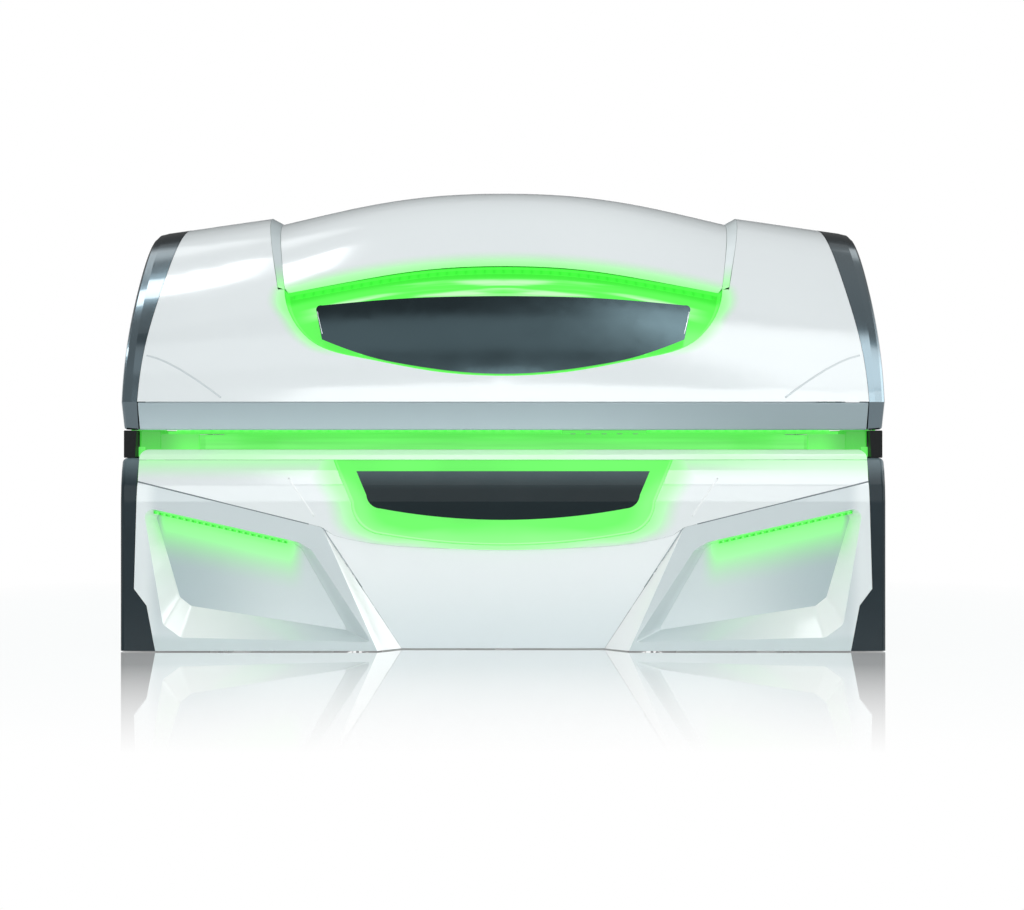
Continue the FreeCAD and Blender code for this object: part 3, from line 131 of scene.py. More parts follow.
# %% [markdown]
# ## Finding a place on the bed
# Much of the bed's look depends on where a point is: painted shade toward the floor, painted glow near a lit
# edge.
# Painted masks would need unwrapped meshes. Object coordinates are enough here, because they hold the place
# on the resting bed, and travel with a piece when the canopy opens.

# %% Place helpers
def place(tree):
    """Distance from the middle along the bed, depth, and height."""
    xyz = add(tree, "SeparateXYZ", Vector=add(tree, "TexCoord").outputs["Object"])
    across = add(tree, "Math", {"operation": "ABSOLUTE"}, i0=xyz.outputs[0])
    return across.outputs[0], xyz.outputs[1], xyz.outputs[2]


def lengthwise(tree):
    """Position along the bed, below zero on its left half."""
    return add(tree, "SeparateXYZ", Vector=add(tree, "TexCoord").outputs["Object"]).outputs[0]


def facing(tree):
    """How much a surface faces the bed's nearer end, the rear, and the ceiling, each from -1 to 1."""
    normal = add(tree, "SeparateXYZ", Vector=add(tree, "TexCoord").outputs["Normal"])
    side = add(tree, "Math", {"operation": "SIGN"}, i0=lengthwise(tree))
    outward = add(tree, "Math", TIMES, i0=normal.outputs[0], i1=side)
    return outward, normal.outputs[1], normal.outputs[2]


def by_height(tree, tint, other, low, high):
    """Mix a tint into another colour as a point rises from one height to the other."""
    rise = add(tree, "MapRange", SMOOTH, Value=place(tree)[2], From_Min=low, From_Max=high)
    return add(tree, "Mix", RGBA, i0=rise, i6=tint, i7=linear(other))


def drifting(tree, scale, detail, low, high):
    """A value that drifts between two levels, in soft patches about 1 / scale metres wide."""
    spot = add(tree, "TexCoord").outputs["Object"]
    patches = add(tree, "TexNoise", Vector=spot, Scale=scale, Detail=detail)
    return add(tree, "MapRange", Value=patches, From_Min=0.3, From_Max=0.7, To_Min=low, To_Max=high)


def in_bands(tree, low, high):
    """A value that drifts in level bands 30 times as long as they are high, as light does along a gap."""
    across, _, up = place(tree)
    flow = add(tree, "CombineXYZ", X=across, Y=add(tree, "Math", TIMES, i0=up, i1=30.0))
    cloud = add(tree, "TexNoise", Vector=flow, Scale=1.6, Detail=2.0)
    return add(tree, "MapRange", Value=cloud, From_Min=0.3, From_Max=0.7, To_Min=low, To_Max=high)


# %% [markdown]
# ## Painted green light on the panels
# The white panels are vacuum-formed ABS, a few millimetres thick. Near a lit recess or light strip they take
# painted green light, a pale tint and a faint emission, which stands in for the green light around them.
# Real light would need many samples to come out clean, so each glow is a mask from 0 to 1 instead, which
# fades with the distance to that edge. A float curve holds the edge of a recess as a radius for each angle
# around its middle, and the angle is squeezed from a half turn to the curve's range of 0 to 1.

# %% Edges of the lit recesses
INTAKE_MIDDLE = 1.0
INTAKE_EDGE = [(0.0, 1.192), (0.266, 1.177), (0.454, 1.150), (0.557, 1.128), (0.688, 1.112), (0.646, 1.006),
               (0.573, 0.935), (0.43, 0.892), (0.225, 0.853), (0.0, 0.837)]
INTAKE_TOP = 1.192
INTAKE_FALL = 0.205
RECESS_MIDDLE = 0.47
RECESS_EDGE = [(0.0, 0.60), (0.45, 0.60), (0.517, 0.583), (0.462, 0.452), (0.436, 0.387), (0.372, 0.355),
               (0.2, 0.339), (0.0, 0.322)]
POCKET_CORNER_X, POCKET_CORNER_Z = 1.09, 0.439
POCKET_RISE = 0.2255


def beyond(tree, middle, edge):
    """Distance outside a recess, in metres, seen from its middle."""
    across, _, up = place(tree)
    rise = add(tree, "Math", MINUS, i0=up, i1=middle)
    angle = add(tree, "Math", {"operation": "ARCTAN2"}, i0=rise, i1=across)
    turn = add(tree, "Math", TIMES_PLUS, i0=angle, i1=1 / math.pi, i2=0.5)
    reach = add(tree, "VectorMath", {"operation": "LENGTH"}, i0=add(tree, "CombineXYZ", X=across, Y=rise))
    radius = add(tree, "FloatCurve", Value=turn)
    curve = radius.mapping.curves[0]
    polar = sorted((math.atan2(z - middle, x) / math.pi + 0.5, math.hypot(x, z - middle)) for x, z in edge)
    curve.points[0].location = polar[0]
    curve.points[1].location = polar[-1]
    for point in polar[1:-1]:
        curve.points.new(*point)
    radius.mapping.update()
    return add(tree, "Math", MINUS, i0=reach, i1=radius)


def above_intake(tree):
    """Height above the intake's upper edge, an arch that falls with the square of the distance."""
    across, _, up = place(tree)
    squared = add(tree, "Math", TIMES, i0=across, i1=across)
    arch = add(tree, "Math", TIMES_PLUS, i0=squared, i1=-INTAKE_FALL, i2=INTAKE_TOP)
    return add(tree, "Math", MINUS, i0=up, i1=arch)


print("intake edge:", len(INTAKE_EDGE), "points, recess edge:", len(RECESS_EDGE), "points")


# %% Glow masks
# Each mask below places painted green light, a pale tint and a faint emission, on a white panel.
def in_front(tree, mask):
    """Keep a mask on the boarding side of the bed."""
    front = add(tree, "MapRange", SMOOTH, Value=place(tree)[1], From_Min=-0.15, From_Max=-0.28)
    return add(tree, "Math", TIMES, i0=mask, i1=front)


def glow_over_intake(tree):
    """The lower edge of the centre panel."""
    edge = add(tree, "MapRange", SMOOTH, Value=above_intake(tree), From_Min=0.06, From_Max=-0.004)
    return in_front(tree, edge)


def glow_beside_intake(tree):
    """The shell around the intake's two ends."""
    outside = beyond(tree, INTAKE_MIDDLE, INTAKE_EDGE)
    ring = add(tree, "MapRange", SMOOTH, Value=outside, From_Min=0.055, From_Max=-0.01)
    ends = add(tree, "MapRange", SMOOTH, Value=place(tree)[0], From_Min=0.48, From_Max=0.60)
    return in_front(tree, add(tree, "Math", TIMES, i0=ring, i1=ends))


def glow_on_notch(tree):
    """The lower end of each notch beside the centre panel."""
    return in_front(tree, add(tree, "MapRange", SMOOTH, Value=place(tree)[2], From_Min=1.22, From_Max=1.10))


def glow_on_fascia(tree):
    """Under the boarding gap, and around the recess of the dark plate."""
    up = place(tree)[2]
    under_gap = add(tree, "MapRange", SMOOTH, Value=up, From_Min=0.512, From_Max=0.585, To_Max=0.62)
    outside = beyond(tree, RECESS_MIDDLE, RECESS_EDGE)
    ring = add(tree, "MapRange", SMOOTH, Value=outside, From_Min=0.09, From_Max=-0.01)
    return add(tree, "Math", LARGER, i0=under_gap, i1=ring)


def glow_in_pocket(tree):
    """Down from the light strip under each pocket's sloping upper edge."""
    across, deep, up = place(tree)
    at_middle = POCKET_CORNER_Z - POCKET_CORNER_X * POCKET_RISE
    edge = add(tree, "Math", TIMES_PLUS, i0=across, i1=POCKET_RISE, i2=at_middle)
    drop = add(tree, "Math", MINUS, i0=edge, i1=up)
    mask = add(tree, "MapRange", SMOOTH, Value=drop, From_Min=0.17, From_Max=0.0)
    inner = add(tree, "MapRange", SMOOTH, Value=across, From_Min=0.60, From_Max=0.66)
    outer = add(tree, "MapRange", SMOOTH, Value=across, From_Min=1.07, From_Max=1.03)
    inside = add(tree, "MapRange", Value=deep, From_Min=-0.672, From_Max=-0.660)
    for part in (inner, outer, inside):
        mask = add(tree, "Math", TIMES, i0=mask, i1=part)
    return mask


def glow_on_rim(tree):
    """The whole front rim stands in the light of the boarding gap."""
    return drifting(tree, 2.5, 1.0, 0.45, 0.75)


print("each pocket's light starts", POCKET_CORNER_X, "m out and", POCKET_CORNER_Z, "m up")

# %% [markdown]
# ## Gloss white ABS
# Sheet that is vacuum-formed over a mould keeps its polish and waves very slightly, which bends the
# reflections of the studio. ABS has an index of 1.53. The wave could be modelled, but as bump it costs no
# faces. It is about 80 mm long, so its noise has 1 / 0.08 features a metre.

# %% Gloss white ABS
PANEL_WAVE = 1 / 0.08
GLOW_STRENGTH = 0.36


def gloss_white(name, glow=None, light="#eef2f3", dark="#e8edee", pale="#a4fa9f", painted_shading=None):
    """Polished white ABS, with painted green light where the mask says; retint paints light and shade before
    it.
    """
    material, tree = new_material(name)
    spot = add(tree, "TexCoord").outputs["Object"]
    drift = add(tree, "TexNoise", Vector=spot, Scale=2.0, Detail=1.0)
    tint = add(tree, "Mix", RGBA, i0=drift, i6=linear(dark), i7=linear(light))
    if painted_shading:
        tint = painted_shading(tree, tint)
    lit = {}
    if glow:
        mask = glow(tree)
        tint = add(tree, "Mix", RGBA, i0=mask, i6=tint, i7=linear(pale))
        squared = add(tree, "Math", TIMES, i0=mask, i1=mask)
        lit["Emission_Color"] = linear("#5cff56")
        lit["Emission_Strength"] = add(tree, "Math", TIMES, i0=squared, i1=GLOW_STRENGTH)
    wave = add(tree, "TexNoise", Vector=spot, Scale=PANEL_WAVE, Detail=1.0)
    bump = add(tree, "Bump", Strength=0.06, Distance=0.002, Height=wave)
    shader = add(tree, "BsdfPrincipled", Base_Color=tint, Roughness=drifting(tree, 6.0, 3.0, 0.09, 0.13),
                 IOR=1.53, Coat_Weight=0.35, Coat_Roughness=0.03, Normal=bump, **lit)
    add(tree, "OutputMaterial", Surface=shader)
    return material


print("the white panels wave every", round(1000 / PANEL_WAVE), "mm")

# %% [markdown]
# ## Panels with more than one shade
# The kick panel, the notches and the pockets are the same ABS, but each part of them catches the room
# differently. Lamps alone could not give every face its own shade, so the tint itself follows the height, the
# place along the bed, or the way that a face looks.

# %% Shades of the panels
def kick_painted_shade(tree, tint):
    """Painted shade: the kick panel greys a little toward the floor."""
    return by_height(tree, tint, "#f3f6f7", 0.0, 0.30)


def notch_painted_light(tree, tint):
    """Painted light: the notch on the bed's right half is a shade lighter."""
    right = add(tree, "MapRange", Value=lengthwise(tree), From_Min=-0.1, From_Max=0.1)
    return add(tree, "Mix", RGBA, i0=right, i6=tint, i7=linear("#ebf3f4"))


def wing_painted_light_and_shade(tree, tint):
    """Painted light and shade: pale frame, dark foot, grey pocket floor, lit sweep, white walls facing the
    middle.
    """
    across, deep, up = place(tree)
    toward_end, _, toward_ceiling = facing(tree)
    outer_frame = add(tree, "MapRange", SMOOTH, Value=across, From_Min=1.04, From_Max=1.09)
    bottom_shade = add(tree, "MapRange", SMOOTH, Value=up, From_Min=0.06, From_Max=0.03)
    pocket_floor = add(tree, "MapRange", SMOOTH, Value=deep, From_Min=-0.645, From_Max=-0.614)
    outward = add(tree, "MapRange", SMOOTH, Value=across, From_Min=0.62, From_Max=1.02)
    pocket_floor_shade = add(tree, "Mix", RGBA, i0=outward, i6=linear("#dbe4e6"), i7=linear("#b7c6cb"))
    lower_wall = add(tree, "MapRange", SMOOTH, Value=toward_ceiling, From_Min=0.18, From_Max=0.40)
    sweep = add(tree, "MapRange", SMOOTH, Value=across, From_Min=0.50, From_Max=0.98)
    sweep_highlight = add(tree, "Mix", RGBA, i0=sweep, i6=linear("#d2dddf"), i7=linear("#f6f9f9"))
    outer_wall = add(tree, "MapRange", SMOOTH, Value=toward_end, From_Min=-0.12, From_Max=-0.35)
    for mask, colour in ((outer_frame, linear("#eaf0f1")), (bottom_shade, linear("#c3cfd1")), (pocket_floor, pocket_floor_shade),
                         (lower_wall, sweep_highlight), (outer_wall, linear("#fafcfc"))):
        tint = add(tree, "Mix", RGBA, i0=mask, i6=tint, i7=colour)
    return tint


# Painted shade: the kick panel and the wings start from a greyer white than the other panels.
dress(gloss_white("gloss_white_ABS", None, "#e1e9eb", "#dfe7e9", painted_shading=kick_painted_shade), "centre_kick_panel")
dress(gloss_white("shell_ABS_lit_at_intake", glow_beside_intake), "canopy_shell")
dress(gloss_white("panel_ABS_lit_over_intake", glow_over_intake), "canopy_centre_panel")
dress(gloss_white("notch_grey_ABS", glow_on_notch, "#ced8da", "#c8d1d4", painted_shading=notch_painted_light),
      "canopy_notch_trims")
dress(gloss_white("fascia_ABS_lit_at_recess", glow_on_fascia), "bench_fascia")
dress(gloss_white("rim_ABS_lit_by_gap", glow_on_rim, pale="#c4fbc2"), "bench_front_rim")
dress(gloss_white("wing_ABS_lit_in_pocket", glow_in_pocket, "#d3dcde", "#ccd5d8", painted_shading=wing_painted_light_and_shade),
      "wing_panel_left", "wing_panel_right")

# %% [markdown]
# ## The other plastics
# Each could have a material of its own, but they differ in few things, so one function makes a moulded
# plastic from its colours, its roughness and the size of its moulded grain. Polished mouldings have a
# roughness of about 0.15 and a clear coat; texture-moulded ones 0.4 and a grain of about 1.5 mm here, drawn a
# little coarse so that it shows. The canopy's end caps and the deflector wear a metal-effect lacquer, which
# mirrors the room in its own colour, as metal does.

# %% Moulded plastics
MOULDED_GRAIN = 1 / 0.0015


def moulded(name, light, dark, roughness, ior=1.53, coat=0.0, grain=0.0, metallic=0.0, specular=0.5,
            painted_top_highlight=None):
    """Moulded plastic whose colour and gloss drift a little; top gives (colour, low, high) of a painted top
    highlight.
    """
    material, tree = new_material(name)
    spot = add(tree, "TexCoord").outputs["Object"]
    drift = add(tree, "TexNoise", Vector=spot, Scale=3.0, Detail=2.0)
    tint = add(tree, "Mix", RGBA, i0=drift, i6=linear(dark), i7=linear(light))
    if painted_top_highlight:
        tint = by_height(tree, tint, *painted_top_highlight)
    texture = {}
    if grain:
        fine = add(tree, "TexNoise", Vector=spot, Scale=MOULDED_GRAIN, Detail=2.0)
        texture["Normal"] = add(tree, "Bump", Strength=grain, Distance=0.0003, Height=fine)
    rough = drifting(tree, 12.0, 3.0, 0.85 * roughness, 1.15 * roughness)
    shader = add(tree, "BsdfPrincipled", Base_Color=tint, Roughness=rough, IOR=ior, Coat_Weight=coat,
                 Coat_Roughness=0.03, Metallic=metallic, Specular_IOR_Level=specular, **texture)
    add(tree, "OutputMaterial", Surface=shader)
    return material


slate_lacquer = moulded("slate_metal_effect_lacquer", "#5a6970", "#52626a", 0.17, ior=1.5, coat=1.0,
                        metallic=1.0)
graphite_lacquer = moulded("graphite_metal_effect_lacquer", "#4a595e", "#435257", 0.15, ior=1.5, metallic=1.0)
# Painted highlight: the bench end caps and the dark plate are lighter along their upper edge.
satin_slate = moulded("satin_slate_ABS", "#1b2b32", "#17252b", 0.24, specular=0.22,
                      painted_top_highlight=("#66767c", 0.50, 0.60))
plate_slate = moulded("gloss_slate_ABS", "#19272b", "#152024", 0.18, specular=0.12,
                      painted_top_highlight=("#43565a", 0.485, 0.560))
black_abs = moulded("textured_black_ABS", "#101314", "#0c0e0f", 0.42, grain=0.3, specular=0.15)
grey_abs = moulded("textured_grey_ABS", "#a7afb2", "#a0a8ab", 0.42, grain=0.3)
holder_white = moulded("lampholder_PBT", "#dddcd6", "#d3d2cb", 0.40, ior=1.55)
button_grey = moulded("soft_touch_TPE", "#aab1b4", "#a1a8ab", 0.50, ior=1.50, grain=0.2)
foot_rubber = moulded("moulded_rubber", "#1c1d1e", "#151617", 0.60, ior=1.52, grain=0.4)
powder_coat = moulded("grey_powder_coat", "#7f8588", "#777d80", 0.38, ior=1.50, grain=0.5)
black_enamel = moulded("black_enamel", "#151618", "#101113", 0.18, ior=1.50, coat=0.3)
white_enamel = moulded("white_enamel", "#c6c9cb", "#bdc1c3", 0.28, ior=1.50)

dress(slate_lacquer, "canopy_end_cap_left", "canopy_end_cap_right")
dress(graphite_lacquer, "intake_deflector")
dress(satin_slate, "bench_end_cap_left", "bench_end_cap_right")
dress(plate_slate, "fascia_plate")
dress(black_abs, "gap_trims", "mains_gland", "fan_housing_left", "fan_housing_right", "fan_rotor_left",
      "fan_rotor_right")
dress(grey_abs, "canopy_front_trim", "canopy_rear_trim", "canopy_skirt_strip", "bench_rear_panel")
dress(holder_white, "canopy_end_plates", "bench_end_plates", "canopy_lampholders", "bench_lampholders")
dress(button_grey, *["button_%d" % i for i in range(1, 6)])
dress(foot_rubber, "levelling_feet")
dress(powder_coat, "canopy_frame", "bench_frame")
dress(black_enamel, "gas_spring_cylinder_left", "gas_spring_cylinder_right", "fan_guards")
dress(white_enamel, "ballast_boxes")

# %% [markdown]
# ## Satin grey grip rail
# The rail is a long satin ABS profile. The floor lights its lower edge, and its right half turns to a darker
# part of the room. Both could be left to the lamps, but on a flat satin face they would hardly show, so the
# tint runs from edge to edge and along the rail.

# %% Grip rail
material, tree = new_material("satin_grey_ABS")
low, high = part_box("canopy_grip_rail")
shade = add(tree, "MapRange", Value=place(tree)[2], From_Min=low[2], From_Max=high[2])
tint = add(tree, "Mix", RGBA, i0=shade, i6=linear("#bfced5"), i7=linear("#aab9bf"))
right = add(tree, "MapRange", SMOOTH, Value=lengthwise(tree), From_Min=0.10, From_Max=0.95)
tint = add(tree, "Mix", RGBA, i0=right, i6=tint, i7=linear("#9dacb2"))
rough = drifting(tree, 9.0, 3.0, 0.28, 0.36)
shader = add(tree, "BsdfPrincipled", Base_Color=tint, Roughness=rough, IOR=1.53)
add(tree, "OutputMaterial", Surface=shader)
dress(material, "canopy_grip_rail")

# %% [markdown]
# ## Metals
# The reflectors are rolled aluminium, the pins turned steel and the spring rods chromed. Metal keeps the
# default index: its colour and roughness say enough. Rolling and turning leave fine lines along one
# direction, so their noise is stretched that way.

# %% Metals
FINE_LINES = 120.0


def metal(name, light, dark, roughness, stretch):
    """Bare metal with fine lines along the axis where stretch is small."""
    material, tree = new_material(name)
    along = add(tree, "VectorMath", TIMES, i0=add(tree, "TexCoord").outputs["Object"], i1=stretch)
    lines = add(tree, "TexNoise", Vector=along, Scale=FINE_LINES, Detail=4.0)
    tint = add(tree, "Mix", RGBA, i0=lines, i6=linear(dark), i7=linear(light))
    rough = add(tree, "MapRange", Value=lines, From_Min=0.3, From_Max=0.7, To_Min=0.7 * roughness,
                To_Max=1.3 * roughness)
    shader = add(tree, "BsdfPrincipled", Base_Color=tint, Roughness=rough, Metallic=1.0)
    add(tree, "OutputMaterial", Surface=shader)
    return material


bright_aluminium = metal("bright_rolled_aluminium", "#dfe2e4", "#cfd3d5", 0.14, (0.05, 1, 1))
turned_steel = metal("turned_steel", "#b9bcbf", "#a8abae", 0.25, (1, 0.2, 0.2))
hard_chrome = metal("hard_chrome", "#d8dadc", "#c8cbcd", 0.06, (1, 1, 0.1))
dress(bright_aluminium, "canopy_reflector", "bench_reflector")
dress(turned_steel, "hinge_pins", "spring_base_studs", "spring_canopy_studs")
dress(hard_chrome, "gas_spring_rod_left", "gas_spring_rod_right")

# %% [markdown]
# ## Clear acrylic
# The lying surface is cast PMMA sheet, index 1.49, polished on both sides and faintly hazed by cleaning. A
# glass shader would do too, but the principled one takes the haze as its roughness like all the others.

# %% Acrylic
material, tree = new_material("clear_cast_PMMA")
haze = drifting(tree, 5.0, 2.0, 0.0, 0.03)
shader = add(tree, "BsdfPrincipled", Base_Color=linear("#f0f7f4"), Roughness=haze, IOR=1.49,
             Transmission_Weight=1.0)
add(tree, "OutputMaterial", Surface=shader)
dress(material, "canopy_acrylic", "bench_acrylic")

# %% [markdown]
# ## Lit opal PMMA
# The recesses are opal PMMA with light-emitting diodes behind them. Diodes behind a scattering sheet would
# be slow and grainy to render, so the sheet itself emits, over a dark green body that still has its polish.
# The intake channel also shows long pale painted reflections, which follow its arch, 16 times as long as they
# are high, and painted shade on a darker lip just under the arch.

# %% Lit intake channel
STREAK_LENGTH = 16.0


def lit_plastic(tree, colour, level, roughness=0.15):
    """Polished green PMMA that glows in a colour, at a level."""
    shader = add(tree, "BsdfPrincipled", Base_Color=linear("#1d7a1b"), Roughness=roughness, IOR=1.49,
                 Emission_Color=colour, Emission_Strength=level)
    add(tree, "OutputMaterial", Surface=shader)


material, tree = new_material("lit_opal_PMMA_channel")
across = place(tree)[0]
depth = add(tree, "Math", TIMES, i0=above_intake(tree), i1=-1.0)
squeezed = add(tree, "Math", TIMES, i0=depth, i1=STREAK_LENGTH)
# Painted reflections: pale streaks along the arch.
streak = add(tree, "TexNoise", Vector=add(tree, "CombineXYZ", X=across, Y=squeezed), Scale=2.2, Detail=2.0)
pale = add(tree, "MapRange", SMOOTH, Value=streak, From_Min=0.44, From_Max=0.60)
start = add(tree, "MapRange", SMOOTH, Value=depth, From_Min=0.028, From_Max=0.045)
stop = add(tree, "MapRange", SMOOTH, Value=depth, From_Min=0.115, From_Max=0.085)
middle = add(tree, "MapRange", SMOOTH, Value=across, From_Min=0.66, From_Max=0.5)
for part in (start, stop, middle):
    pale = add(tree, "Math", TIMES, i0=pale, i1=part)
# Painted shade: darker green on the lip just under the arch.
lip_shade = add(tree, "MapRange", SMOOTH, Value=depth, From_Min=0.02, From_Max=0.045)
green = add(tree, "Mix", RGBA, i0=lip_shade, i6=linear("#48df42"), i7=linear("#68f660"))
lit_plastic(tree, add(tree, "Mix", RGBA, i0=pale, i6=green, i7=linear("#d2ffcd")), 0.9)
dress(material, "intake_channel")

# %% [markdown]
# ## The tray behind the dark plate
# Its floor glows, a little paler toward the edge below the plate, where the diodes sit. Its rear face is
# masked on the real one, and stays dark here, so that no light leaks into the bench.

# %% Lit tray
MASKED_BACK = -0.6004
LIT_FLOOR = -0.6012
material, tree = new_material("lit_opal_PMMA_tray")
_, deep, up = place(tree)
to_edge = beyond(tree, RECESS_MIDDLE, RECESS_EDGE)
outer = add(tree, "MapRange", SMOOTH, Value=to_edge, From_Min=-0.075, From_Max=-0.004)
below_plate = add(tree, "MapRange", SMOOTH, Value=up, From_Min=0.56, From_Max=0.50)
outer = add(tree, "Math", TIMES, i0=outer, i1=below_plate)
tint = add(tree, "Mix", RGBA, i0=outer, i6=linear("#6df566"), i7=linear("#8ef889"))
lit_side = add(tree, "MapRange", Value=deep, From_Min=MASKED_BACK, From_Max=LIT_FLOOR)
lit_plastic(tree, tint, add(tree, "Math", TIMES, i0=drifting(tree, 4.0, 1.0, 0.84, 0.98), i1=lit_side))
dress(material, "fascia_light_tray")

# %% [markdown]
# ## Light strips
# A strip is a row of diodes under a clear cover. One lamp for each would be slow, and the eye sees only a
# line that is brighter over each diode, so the strip's glow follows a sine wave of the diodes' pitch.

# %% Light strips
def light_strip(name, pitch, strength, dim=0.5):
    """Green diode strip: full strength over each diode, and dim times as much between them."""
    material, tree = new_material(name)
    phase = add(tree, "Math", TIMES, i0=place(tree)[0], i1=math.pi / pitch)
    wave = add(tree, "Math", {"operation": "SINE"}, i0=phase)
    near_diode = add(tree, "Math", {"operation": "ABSOLUTE"}, i0=wave)
    level = add(tree, "MapRange", Value=near_diode, To_Min=dim * strength, To_Max=strength)
    tint = add(tree, "Mix", RGBA, i0=near_diode, i6=linear("#3fe03c"), i7=linear("#45ea40"))
    lit_plastic(tree, tint, level, 0.2)
    return material


dress(light_strip("wing_diode_strip", 0.020, 1.1), "wing_led_strips")
dress(light_strip("gap_diode_strip", 0.030, 3.0), "canopy_gap_light_strip")
dress(light_strip("intake_diode_strip", 0.030, 1.05, 0.85), "intake_light_guide")

# %% [markdown]
# ## The lit screen behind the boarding gap
# What shows through the gap is the rear rim's inner wall, lit from end to end. It is one CAD part with the
# white rim, so the material splits them by place: the thin upright wall has a painted glow, the rest plain
# ABS.

# %% Rear rim with its screen
SCREEN_FOOT = 0.600
SCREEN_BACK = 0.470
BLEND = 0.002
material, tree = new_material("rim_ABS_with_lit_screen")
_, deep, up = place(tree)
tall = add(tree, "MapRange", Value=up, From_Min=SCREEN_FOOT, From_Max=SCREEN_FOOT + BLEND)
thin = add(tree, "MapRange", Value=deep, From_Min=SCREEN_BACK, From_Max=SCREEN_BACK - BLEND)
screen = add(tree, "Math", TIMES, i0=tall, i1=thin)
shade = add(tree, "MapRange", SMOOTH, Value=up, From_Min=0.618, From_Max=0.672)
green = add(tree, "Mix", RGBA, i0=shade, i6=linear("#78f973"), i7=linear("#66f560"))
glow = add(tree, "Math", TIMES, i0=in_bands(tree, 0.8, 1.02), i1=screen)
base = add(tree, "Mix", RGBA, i0=screen, i6=linear("#dfe4e6"), i7=linear("#1d7a1b"))
shader = add(tree, "BsdfPrincipled", Base_Color=base, Roughness=0.12, IOR=1.53, Emission_Color=green,
             Emission_Strength=glow)
add(tree, "OutputMaterial", Surface=shader)
dress(material, "bench_rear_rim")

# %% [markdown]
# ## Corner bolsters of the boarding gap
# Rounded blocks of tinted PMMA close the gap's two ends. Their glow is painted light: bright where they face
# the gap, fading upward, and nearly dark on the faces toward the ends and the rear.

# %% Corner bolsters
material, tree = new_material("green_tinted_gloss_PMMA")
_, deep, up = place(tree)
toward_end, toward_rear, _ = facing(tree)
inward = add(tree, "MapRange", SMOOTH, Value=deep, From_Min=-0.60, From_Max=-0.48)
green = add(tree, "Mix", RGBA, i0=inward, i6=linear("#3fc23a"), i7=linear("#5cf655"))
fading = add(tree, "MapRange", Value=up, From_Min=0.61, From_Max=0.67, To_Min=1.0, To_Max=0.72)
away = add(tree, "Math", LARGER, i0=toward_end, i1=toward_rear)
kept = add(tree, "MapRange", SMOOTH, Value=away, From_Min=0.3, From_Max=0.8, To_Min=1.0, To_Max=0.12)
level = add(tree, "Math", TIMES, i0=fading, i1=kept)
shader = add(tree, "BsdfPrincipled", Base_Color=linear("#23661f"), Roughness=0.08, IOR=1.49, Coat_Weight=0.6,
             Emission_Color=green, Emission_Strength=level)
add(tree, "OutputMaterial", Surface=shader)
dress(material, "gap_corner_bolsters")

# %% [markdown]
# ## Turned parts
# Tubes, caps and lenses are round, and a lathe is the natural way to make them: a half profile goes round an
# axis. Blender's own cylinders would leave out the steps and the rounded rims. CAD stands in each tube with a
# plain sixteen-sided bar, so a turned tube takes the place of each bar, found from the bar's own vertices.

# %% Turned shapes
def turned(mesh, profile, sides, material_index=0):
    """Turn a profile of (x, radius) points around the X axis, and close its ends."""
    rings = []
    for x, radius in profile:
        angles = [2 * math.pi * i / sides for i in range(sides)]
        rings.append([mesh.verts.new((x, radius * math.cos(a), radius * math.sin(a))) for a in angles])
    for a, b in zip(rings, rings[1:]):
        for i in range(sides):
            j = (i + 1) % sides
            face = mesh.faces.new((a[i], a[j], b[j], b[i]))
            face.material_index = material_index
            face.smooth = True
    for ring in (rings[0][::-1], rings[-1]):
        mesh.faces.new(ring).material_index = material_index


def finished(name, mesh, body, slot, *materials):
    """Turn a bmesh into a piece that rides on a body."""
    bmesh.ops.recalc_face_normals(mesh, faces=mesh.faces)
    data = bpy.data.meshes.new(name)
    mesh.to_mesh(data)
    mesh.free()
    for material in materials:
        data.materials.append(material)
    piece = bpy.data.objects.new(name, data)
    scene.collection.objects.link(piece)
    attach(piece, body)
    print(name, "rides on", body, "with", len(data.polygons), "faces")
    return piece


def bars(node):
    """Middle and half size of each separate solid of a CAD node, found by walking its joined vertices."""
    mesh = bmesh.new()
    mesh.from_mesh(nodes[node].data)
    bmesh.ops.remove_doubles(mesh, verts=mesh.verts, dist=1e-5)
    found = []
    seen = set()
    for vert in mesh.verts:
        if vert in seen:
            continue
        group = [vert]
        seen.add(vert)
        for member in group:
            for edge in member.link_edges:
                other = edge.other_vert(member)
                if other not in seen:
                    seen.add(other)
                    group.append(other)
        low = Vector([min(v.co[k] for v in group) for k in range(3)])
        high = Vector([max(v.co[k] for v in group) for k in range(3)])
        found.append(((low + high) / 2, (high - low) / 2))
    mesh.free()
    return found


# %% [markdown]
# ## Lamp tubes
# A tanning lamp is a glass tube, 38 mm thick, coated inside with white phosphor, with an aluminium cap at
# each end. The coating hides the inside, so the glass is drawn as a glossy white skin, not as clear glass
# over a coat. It greys near the ends, where the electrodes blacken it.

# %% Lamp tubes
TUBE_R = 0.019
GLASS_R = TUBE_R - 0.0005
CAP = 0.024
TUCKED = 0.004
TUBE_SIDES = 24
tube_glass, tree = new_material("phosphor_coated_glass")
coating = add(tree, "TexNoise", Vector=add(tree, "TexCoord").outputs["Object"], Scale=6.0, Detail=2.0)
white = add(tree, "Mix", RGBA, i0=coating, i6=linear("#dfe1ee"), i7=linear("#e8eaf3"))
used = add(tree, "MapRange", SMOOTH, Value=place(tree)[0], From_Min=0.90, From_Max=0.97, To_Max=0.55)
tint = add(tree, "Mix", RGBA, i0=used, i6=white, i7=linear("#8f9096"))
shader = add(tree, "BsdfPrincipled", Base_Color=tint, Roughness=0.08, IOR=1.51)
add(tree, "OutputMaterial", Surface=shader)

